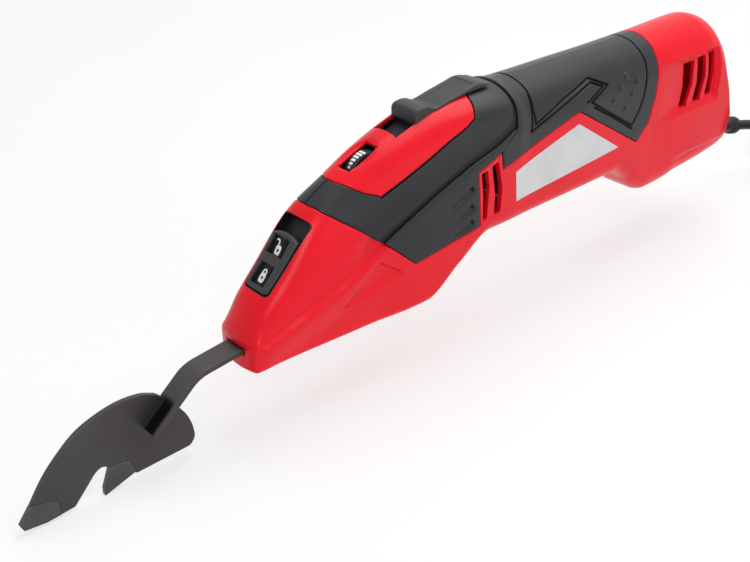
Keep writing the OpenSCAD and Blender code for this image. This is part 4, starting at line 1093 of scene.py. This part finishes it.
# speed dial: knurled drum with white marks that grow along its rim
dialValues = {
    "centre": (74.3, -1.4, 70.1), "r": 11.02, "count": 320, "knurls": 40, "knurlDeep": 0.014,
    "axes": ((0, 1, 0), (1, 0, 0), (0, 0, 1)),
    "profile": [(0.001, -2.8), (9.6, -2.8), (10.6, -2.7), (11.0, -2.3), (11.02, -1.2), (11.02, 1.2), (11.0, 2.3),
                (10.6, 2.7), (9.6, 2.8), (2.0, 2.8), (2.0, 7.6), (0.001, 7.6)],
    "marks": [96, 106, 116, 126, 136, 146], "wide": [1.55, 1.45, 1.25, 1.0, 0.75, 0.5],
    "markHalf": 3.3, "markWider": 1.25, "markProud": 0.06, "markDeep": 0.4}


def turned(profile, start, axes, count, wave=None):
    # profile (radius, distance) turned round the first of three axes; wave changes the rim's radius with the angle
    along, side, across = (np.array(k, float) for k in axes)
    a = np.linspace(0, 2 * pi, count, endpoint=False)
    p = np.array(profile, float)
    r = np.repeat(p[None, :, 0], count, 0)
    if wave is not None:
        r = r * (1 + wave(a)[:, None] * (r > 0.8 * r.max()))
    ring = np.cos(a)[:, None, None] * side + np.sin(a)[:, None, None] * across
    grid = np.array(start) + p[None, :, 1, None] * along + r[..., None] * ring
    return grid.reshape(-1, 3), gridFaces(count, len(p), closeU=True)


def knurlWave(a):
    # a notch at every knurl, with a soft bottom
    return -dialValues["knurlDeep"] * (0.5 + 0.5 * np.cos(a * dialValues["knurls"])) ** 2


def dialMarks(v):
    # small plates on the rim, each bent with it
    parts, r, (x, y, z) = [], v["r"] + v["markProud"], v["centre"]
    for angle, wide in zip(v["marks"], v["wide"]):
        turn = np.radians(np.linspace(angle - v["markHalf"], angle + v["markHalf"], 8))
        a, b = np.meshgrid(turn, np.linspace(-wide, wide, 5) * v["markWider"], indexing="ij")
        p = np.stack([x + r * np.cos(a), y + b, z + r * np.sin(a)], -1)
        parts.append(solidFromGrid(p, p - np.array(v["centre"]), v["markDeep"], (0, 0, 0, 0))[:2])
    return joinParts(parts)


dialForm = turned(dialValues["profile"], dialValues["centre"], dialValues["axes"], dialValues["count"], knurlWave)
makePiece("speedDial", [closedMesh("dial", *dialForm)], "blackPlastic", "dial", ("speed_dial",))
makePiece("dialMarks", [closedMesh("marks", *dialMarks(dialValues))], "whitePrint", "dial")
print("dial formed")

# blade: plate and tips as outlines carried across the plate's thickness, and a bent shank
bladeValues = {
    "reach": 111.0, "drop": 37.5, "near": 3.6, "far": 6.0, "bevel": 0.28, "bevelAngle": 40, "tipProud": 0.15,
    "arc": [(-947, -656), (-885, -408), (-820, -213), (-732, -13), (-643, 91), (-541, 144), (-448, 120), (-396, 61),
            (-359, -16), (-277, -320), (-241, -541), (-230, -763), (-247, -861), (-262, -888)],
    "heel": [(-505, -904), (-530, -668)],
    "hook": [(-614, -643), (-645, -595), (-676, -629), (-710, -731), (-779, -944)],
    "toe": [(-836, -955), (-842, -733)],
    "frontTip": [(-1000, -851), (-989, -931), (-899, -965), (-836, -955), (-842, -733), (-947, -656)],
    "rearTip": [(-505, -904), (-516, -880), (-653, -1000), (-651, -904), (-614, -643), (-530, -668)]}


def bladeOutline(shares):
    # thousandths of the blade's reach and drop to millimetres
    return np.array(shares) * [bladeValues["reach"] / 1000, bladeValues["drop"] / 1000]


def bladePiece(name, outline, finish, stands, grow=0.0):
    near, far = bladeValues["near"] - grow, bladeValues["far"] + grow
    mesh = closedMesh(name, *prismShape(outline, near, far))
    piece = makePiece(name, [mesh], finish, "blade_carrier", stands)
    mod = piece.modifiers.new("edges", "BEVEL")
    mod.width = bladeValues["bevel"] / 1000
    mod.segments = 2
    mod.limit_method = "ANGLE"
    mod.angle_limit = radians(bladeValues["bevelAngle"])


plateLine = np.concatenate([throughPoints(bladeOutline(bladeValues["arc"])), bladeOutline(bladeValues["heel"]),
                            throughPoints(bladeOutline(bladeValues["hook"])), bladeOutline(bladeValues["toe"])])
bladePiece("bladePlate", plateLine, "bladeSteel", ("blade_plate",))
for name, node in (("frontTip", "front_tip"), ("rearTip", "rear_tip")):
    bladePiece(name, bladeOutline(bladeValues[name]), "carbide", (node,), bladeValues["tipProud"])
shankValues = {"path": [(32.0, 10.165), (0.0, 10.165), (-25.64, 7.54), (-49.95, -12.485)], "bend": 5.0,
               "wide": 12.0, "thick": 2.6, "round": 0.35, "bedEdge": 1.3, "bed": [0, 0.6, 1, 1, 1, 1, 1, 0.6, 0],
               "hollow": (-1.5, -3.5, 1.3)}


def barSection(v):
    # a bar with quarter rounds at its corners, and each point's share of the hollow in its top
    h, t, r, edge, bed = v["wide"] / 2, v["thick"] / 2, v["round"], v["bedEdge"], np.array(v["bed"])
    c = np.linspace(0, pi / 2, 5)

    def corner(b, n, start):
        return np.stack([b + r * np.cos(start + c), n + r * np.sin(start + c)], -1)

    top = np.stack([np.linspace(h - edge, edge - h, len(bed)), t + 0 * bed], -1)
    before = np.concatenate([corner(h - r, r - t, -pi / 2), corner(h - r, t - r, 0)])
    after = np.concatenate([corner(r - h, t - r, pi / 2), corner(r - h, r - t, pi)])
    return np.concatenate([before, top, after]), np.concatenate([np.zeros(len(before)), bed, np.zeros(len(after))])


def bentShank(v):
    # the bar section carried along a path whose corners are eased; hollow on top near the blade, and the hollow's share
    # given back as painted shade
    p = np.array(v["path"], float)
    line = np.concatenate([p[:1]] + [easedCorner(*abc, v["bend"], 12) for abc in zip(p[:-2], p[1:-1], p[2:])])
    line = np.concatenate([line, line[-1] + (p[-1] - line[-1]) * np.linspace(0, 1, 24)[1:, None]])
    d = np.gradient(line, axis=0)
    d /= np.linalg.norm(d, axis=1)[:, None]
    up = np.stack([d[:, 1], -d[:, 0]], -1)
    section, bed = barSection(v)
    start, end, depth = v["hollow"]
    low = smoothStep(start, end, line[:, 1])[:, None] * bed
    out = section[None, :, 1] - depth * low
    x, z = (line[:, None, k] + up[:, None, k] * out for k in (0, 1))
    verts = np.stack([x, section[None, :, 0] + 0 * x, z], -1).reshape(-1, 3)
    return verts, tubeFaces(*x.shape), low.ravel()


shankVerts, shankFaces, shankHollowShade = bentShank(shankValues)
shankMesh = closedMesh("shank", shankVerts, shankFaces)
shank = makePiece("bladeShank", [shankMesh], "bladeSteel", "blade_carrier", ("blade_shank",))
# painted shade darkens the hollow where the shank meets the plate
shadeGrooves(shank, shankHollowShade)
print("blade formed")

# strain relief: turned shape on a tilted axis, with rings near its end
reliefValues = {
    "start": (336.0, 0.0, 17.0), "tilt": 15.0, "count": 64,
    "profile": [(0.001, 0), (7.5, 0), (7.5, 3), (5.0, 3.2), (4.95, 12), (4.9, 20), (4.8, 26), (4.7, 30), (4.45, 31),
                (4.65, 32), (4.62, 33), (4.35, 34), (4.6, 35), (4.65, 35.6), (5.1, 36.0), (5.4, 36.5), (5.4, 41.6),
                (5.1, 42.6), (4.4, 43.0), (0.001, 43.0)]}
tilt = radians(reliefValues["tilt"])
reliefAxis = np.array([np.cos(tilt), 0, -np.sin(tilt)])
reliefSide = np.cross(reliefAxis, [0, 1, 0])
reliefAxes = (reliefAxis, reliefSide, np.cross(reliefAxis, reliefSide))
reliefForm = turned(reliefValues["profile"], reliefValues["start"], reliefAxes, reliefValues["count"])
reliefMesh = closedMesh("relief", *reliefForm)
makePiece("strainRelief", [reliefMesh], "cordSheath", "housing", ("strain_relief",), angle=50)

# mains lead: straight out of the relief, down to the floor, ten turns in five layers, then the plug on top
leadValues = {
    "d": 6.2, "reliefLength": 43.0, "coilR": 31.6, "turns": 2, "layers": 5, "gap": 0.6, "tie": 0.8,
    "run": 9.57, "side": 4.67, "turn": 70, "change": 0.25, "plugHigh": 14.0,
    "shares": [(0, 0, 1), (0.08, 0, 0.97), (0.16, 0, 0.94), (0.237, 0, 0.907), (0.312, 0.009, 0.863),
               (0.383, 0.028, 0.808), (0.448, 0.057, 0.741), (0.506, 0.091, 0.664), (0.557, 0.129, 0.578),
               (0.6, 0.167, 0.484), (0.642, 0.209, 0.389), (0.688, 0.262, 0.303), (0.737, 0.329, 0.225),
               (0.788, 0.409, 0.158), (0.838, 0.503, 0.102), (0.886, 0.611, 0.056), (0.93, 0.738, 0.02),
               (0.973, 0.909, 0), (1, 1, 0)]}
floorDrop = np.array([0, 0, -toolOrigin[2]])


def leadRoute(v):
    # heights here are from the floor, and are put back to the nose underside at the end
    start = np.array(reliefValues["start"]) + floorDrop + v["reliefLength"] * reliefAxis
    second = start + v["d"] * reliefAxis
    pitch = v["d"] + v["gap"]
    outR, inR = v["coilR"] + v["turns"] * pitch / 2, v["coilR"] - v["turns"] * pitch / 2
    first = radians(270 - v["turn"])
    begin = np.array([start[0] + v["run"] * v["d"], -v["side"] * v["d"], v["tie"] + v["gap"] / 2 + v["d"] / 2])
    centre = begin[:2] - outR * np.array([np.cos(first), np.sin(first)])
    s = np.array(v["shares"])
    free = np.stack([second[0] + s[:, 0] * (begin[0] - second[0]), s[:, 1] * begin[1],
                     begin[2] + s[:, 2] * (second[2] - begin[2])], -1)
    # turns wind in on one layer and out on the next, and the last half turn climbs to the plug
    full = v["layers"] * v["turns"]
    end = full + v["turn"] / 360
    u = np.linspace(0, end, int(end * 48) + 1)
    r = inR + np.abs(u % (2 * v["turns"]) - v["turns"]) * pitch
    ends = [k * v["turns"] for k in range(1, v["layers"])]
    climbs = sum(smoothStep(k - v["change"], k + v["change"], u) for k in ends)
    rise = v["d"] / 2 + v["gap"] + v["plugHigh"] / 2
    z = begin[2] + pitch * climbs + rise * smoothStep(full - 2 * v["change"], end, u)
    a = first + 2 * pi * u
    coil = np.stack([centre[0] + r * np.cos(a), centre[1] + r * np.sin(a), z], -1)
    plugAt = coil[-1] + [v["d"], 0, 0]
    return np.concatenate([[start], throughPoints(free, 3)[:-1], coil, [plugAt]]) - floorDrop, plugAt - floorDrop


route, plugAt = leadRoute(leadValues)
routeFrame = toFrame(route)
leadCurve = bpy.data.curves.new("mainsLead", "CURVE")
leadCurve.dimensions = "3D"
leadCurve.bevel_depth = leadValues["d"] / 2000
leadCurve.bevel_resolution = 4
leadCurve.use_fill_caps = True
spline = leadCurve.splines.new("POLY")
spline.points.add(len(routeFrame) - 1)
spline.points.foreach_set("co", np.concatenate([routeFrame, np.ones((len(routeFrame), 1))], 1).ravel())
leadCurve.materials.append(finishes["cordSheath"])
lead = addObject("mainsLead", leadCurve)
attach(lead, "housing")
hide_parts("lead", "lead_coil")

# flat plug: rounded sections along the lead's line, round at the neck and flat at the face
plugStations = np.array([
    (0, 4.6, 4.6, 2), (0.5, 5, 5, 2), (2.6, 5, 5, 2), (3.2, 4.4, 4.4, 2), (3.8, 5, 5, 2), (6.0, 5, 5, 2),
    (6.6, 4.4, 4.4, 2), (7.2, 5, 5, 2), (9.4, 5.1, 5, 2), (11, 6, 5.4, 2.2), (13, 8.6, 6.1, 2.6),
    (15.5, 11.4, 6.8, 3.2), (18, 12.7, 7, 4),
    (20, 13, 7, 4.4), (33.6, 13, 7, 4.6), (35.0, 12.8, 6.8, 4.6), (35.8, 12.2, 6.2, 4.6), (36, 11.4, 5.4, 4.6)])


def plugForm(stations, start, count=72):
    # each section is a superellipse: half width, half height and squareness
    a = np.linspace(0, 2 * pi, count, endpoint=False)
    x, hy, hz, n = (stations[:, None, k] for k in range(4))
    c, s = np.cos(a)[None], np.sin(a)[None]
    y, z = hy * np.sign(c) * np.abs(c) ** (2 / n), hz * np.sign(s) * np.abs(s) ** (2 / n)
    return (np.stack([x + 0 * y, y, z], -1) + start).reshape(-1, 3), tubeFaces(len(stations), count)


plugMesh = closedMesh("plug", *plugForm(plugStations, plugAt))
plug = makePiece("plugBody", [plugMesh], "blackPlastic", "housing", ("plug_body",))

# floor and light
stageValues = {
    "floor": 14.0, "sky": 0.38, "white": 0.62, "fade": (0.5, 1.3), "cloud": 3.0, "rough": 0.8, "specular": 0.1,
    "tones": ((0.90, 0.90, 0.90), (0.93, 0.93, 0.93)),
    "lights": {"overhead": ((0.45, 0.0, 1.2), (0.05, 0, 0.08), (1.2, 0.9), 12),
               "key": ((-0.8, -1.0, 0.95), (-0.03, 0, 0.06), (0.55, 0.55), 7),
               "sideFill": ((0.5, -1.4, 0.5), (0.05, 0, 0.08), (1.0, 0.7), 2)}}


def whenSeen(tree):
    # one for rays from the camera and for mirrored or bent ones, else nothing
    rays = addNode(tree, "LightPath").outputs
    total = rays["Is Camera Ray"]
    for name in ("Is Glossy Ray", "Is Transmission Ray"):
        total = addNode(tree, "Math", {0: total, 1: rays[name]}, operation="MAXIMUM").outputs[0]
    return total


def paleFloor(v):
    # a matt sheet that turns white to the eye with distance from the middle
    mat = bpy.data.materials.new("paleFloor")
    tree = clearTree(mat)
    tone = rampOn(tree, noiseOn(tree, v["cloud"]), *v["tones"])
    matt = addNode(tree, "BsdfPrincipled", {
        "Base Color": tone, "Roughness": v["rough"], "Specular IOR Level": v["specular"]})
    place = addNode(tree, "TexCoord").outputs["Object"]
    far = addNode(tree, "VectorMath", {0: place}, operation="LENGTH").outputs["Value"]
    white = rangeOn(tree, far, v["white"], 1.0, *v["fade"])
    share = addNode(tree, "Math", {0: whenSeen(tree), 1: white}, operation="MULTIPLY")
    glow = addNode(tree, "Emission", {"Strength": 1.0})
    blend = addNode(tree, "MixShader", {0: share.outputs[0], 1: matt.outputs[0], 2: glow.outputs[0]})
    addNode(tree, "OutputMaterial", {"Surface": blend.outputs[0]})
    return mat


def studioWorld(sky):
    # white where it is seen, and dimmer as a light
    world = bpy.data.worlds.new("studio")
    tree = clearTree(world)
    lit, seen = (addNode(tree, "Background", {0: (1, 1, 1, 1), 1: power}).outputs[0] for power in (sky, 1.0))
    mixer = addNode(tree, "MixShader", {0: whenSeen(tree), 1: lit, 2: seen})
    addNode(tree, "OutputWorld", {0: mixer.outputs[0]})
    return world


def addLight(name, place, target, size, power):
    data = bpy.data.lights.new(name, "AREA")
    data.shape = "RECTANGLE"
    data.size, data.size_y = size
    data.energy = power
    light = addObject(name, data)
    light.location = place
    light.rotation_euler = (Vector(target) - Vector(place)).to_track_quat("-Z", "Y").to_euler()


floorMesh = bpy.data.meshes.new("floor")
reach = stageValues["floor"]
corners = [(-reach, -reach, 0), (reach, -reach, 0), (reach, reach, 0), (-reach, reach, 0)]
floorMesh.from_pydata(corners, [], [(0, 1, 2, 3)])
floorMesh.materials.append(paleFloor(stageValues))
floor = addObject("floor", floorMesh)
scene.world = studioWorld(stageValues["sky"])
for name, row in stageValues["lights"].items():
    addLight(name, *row)
print("stage lit")
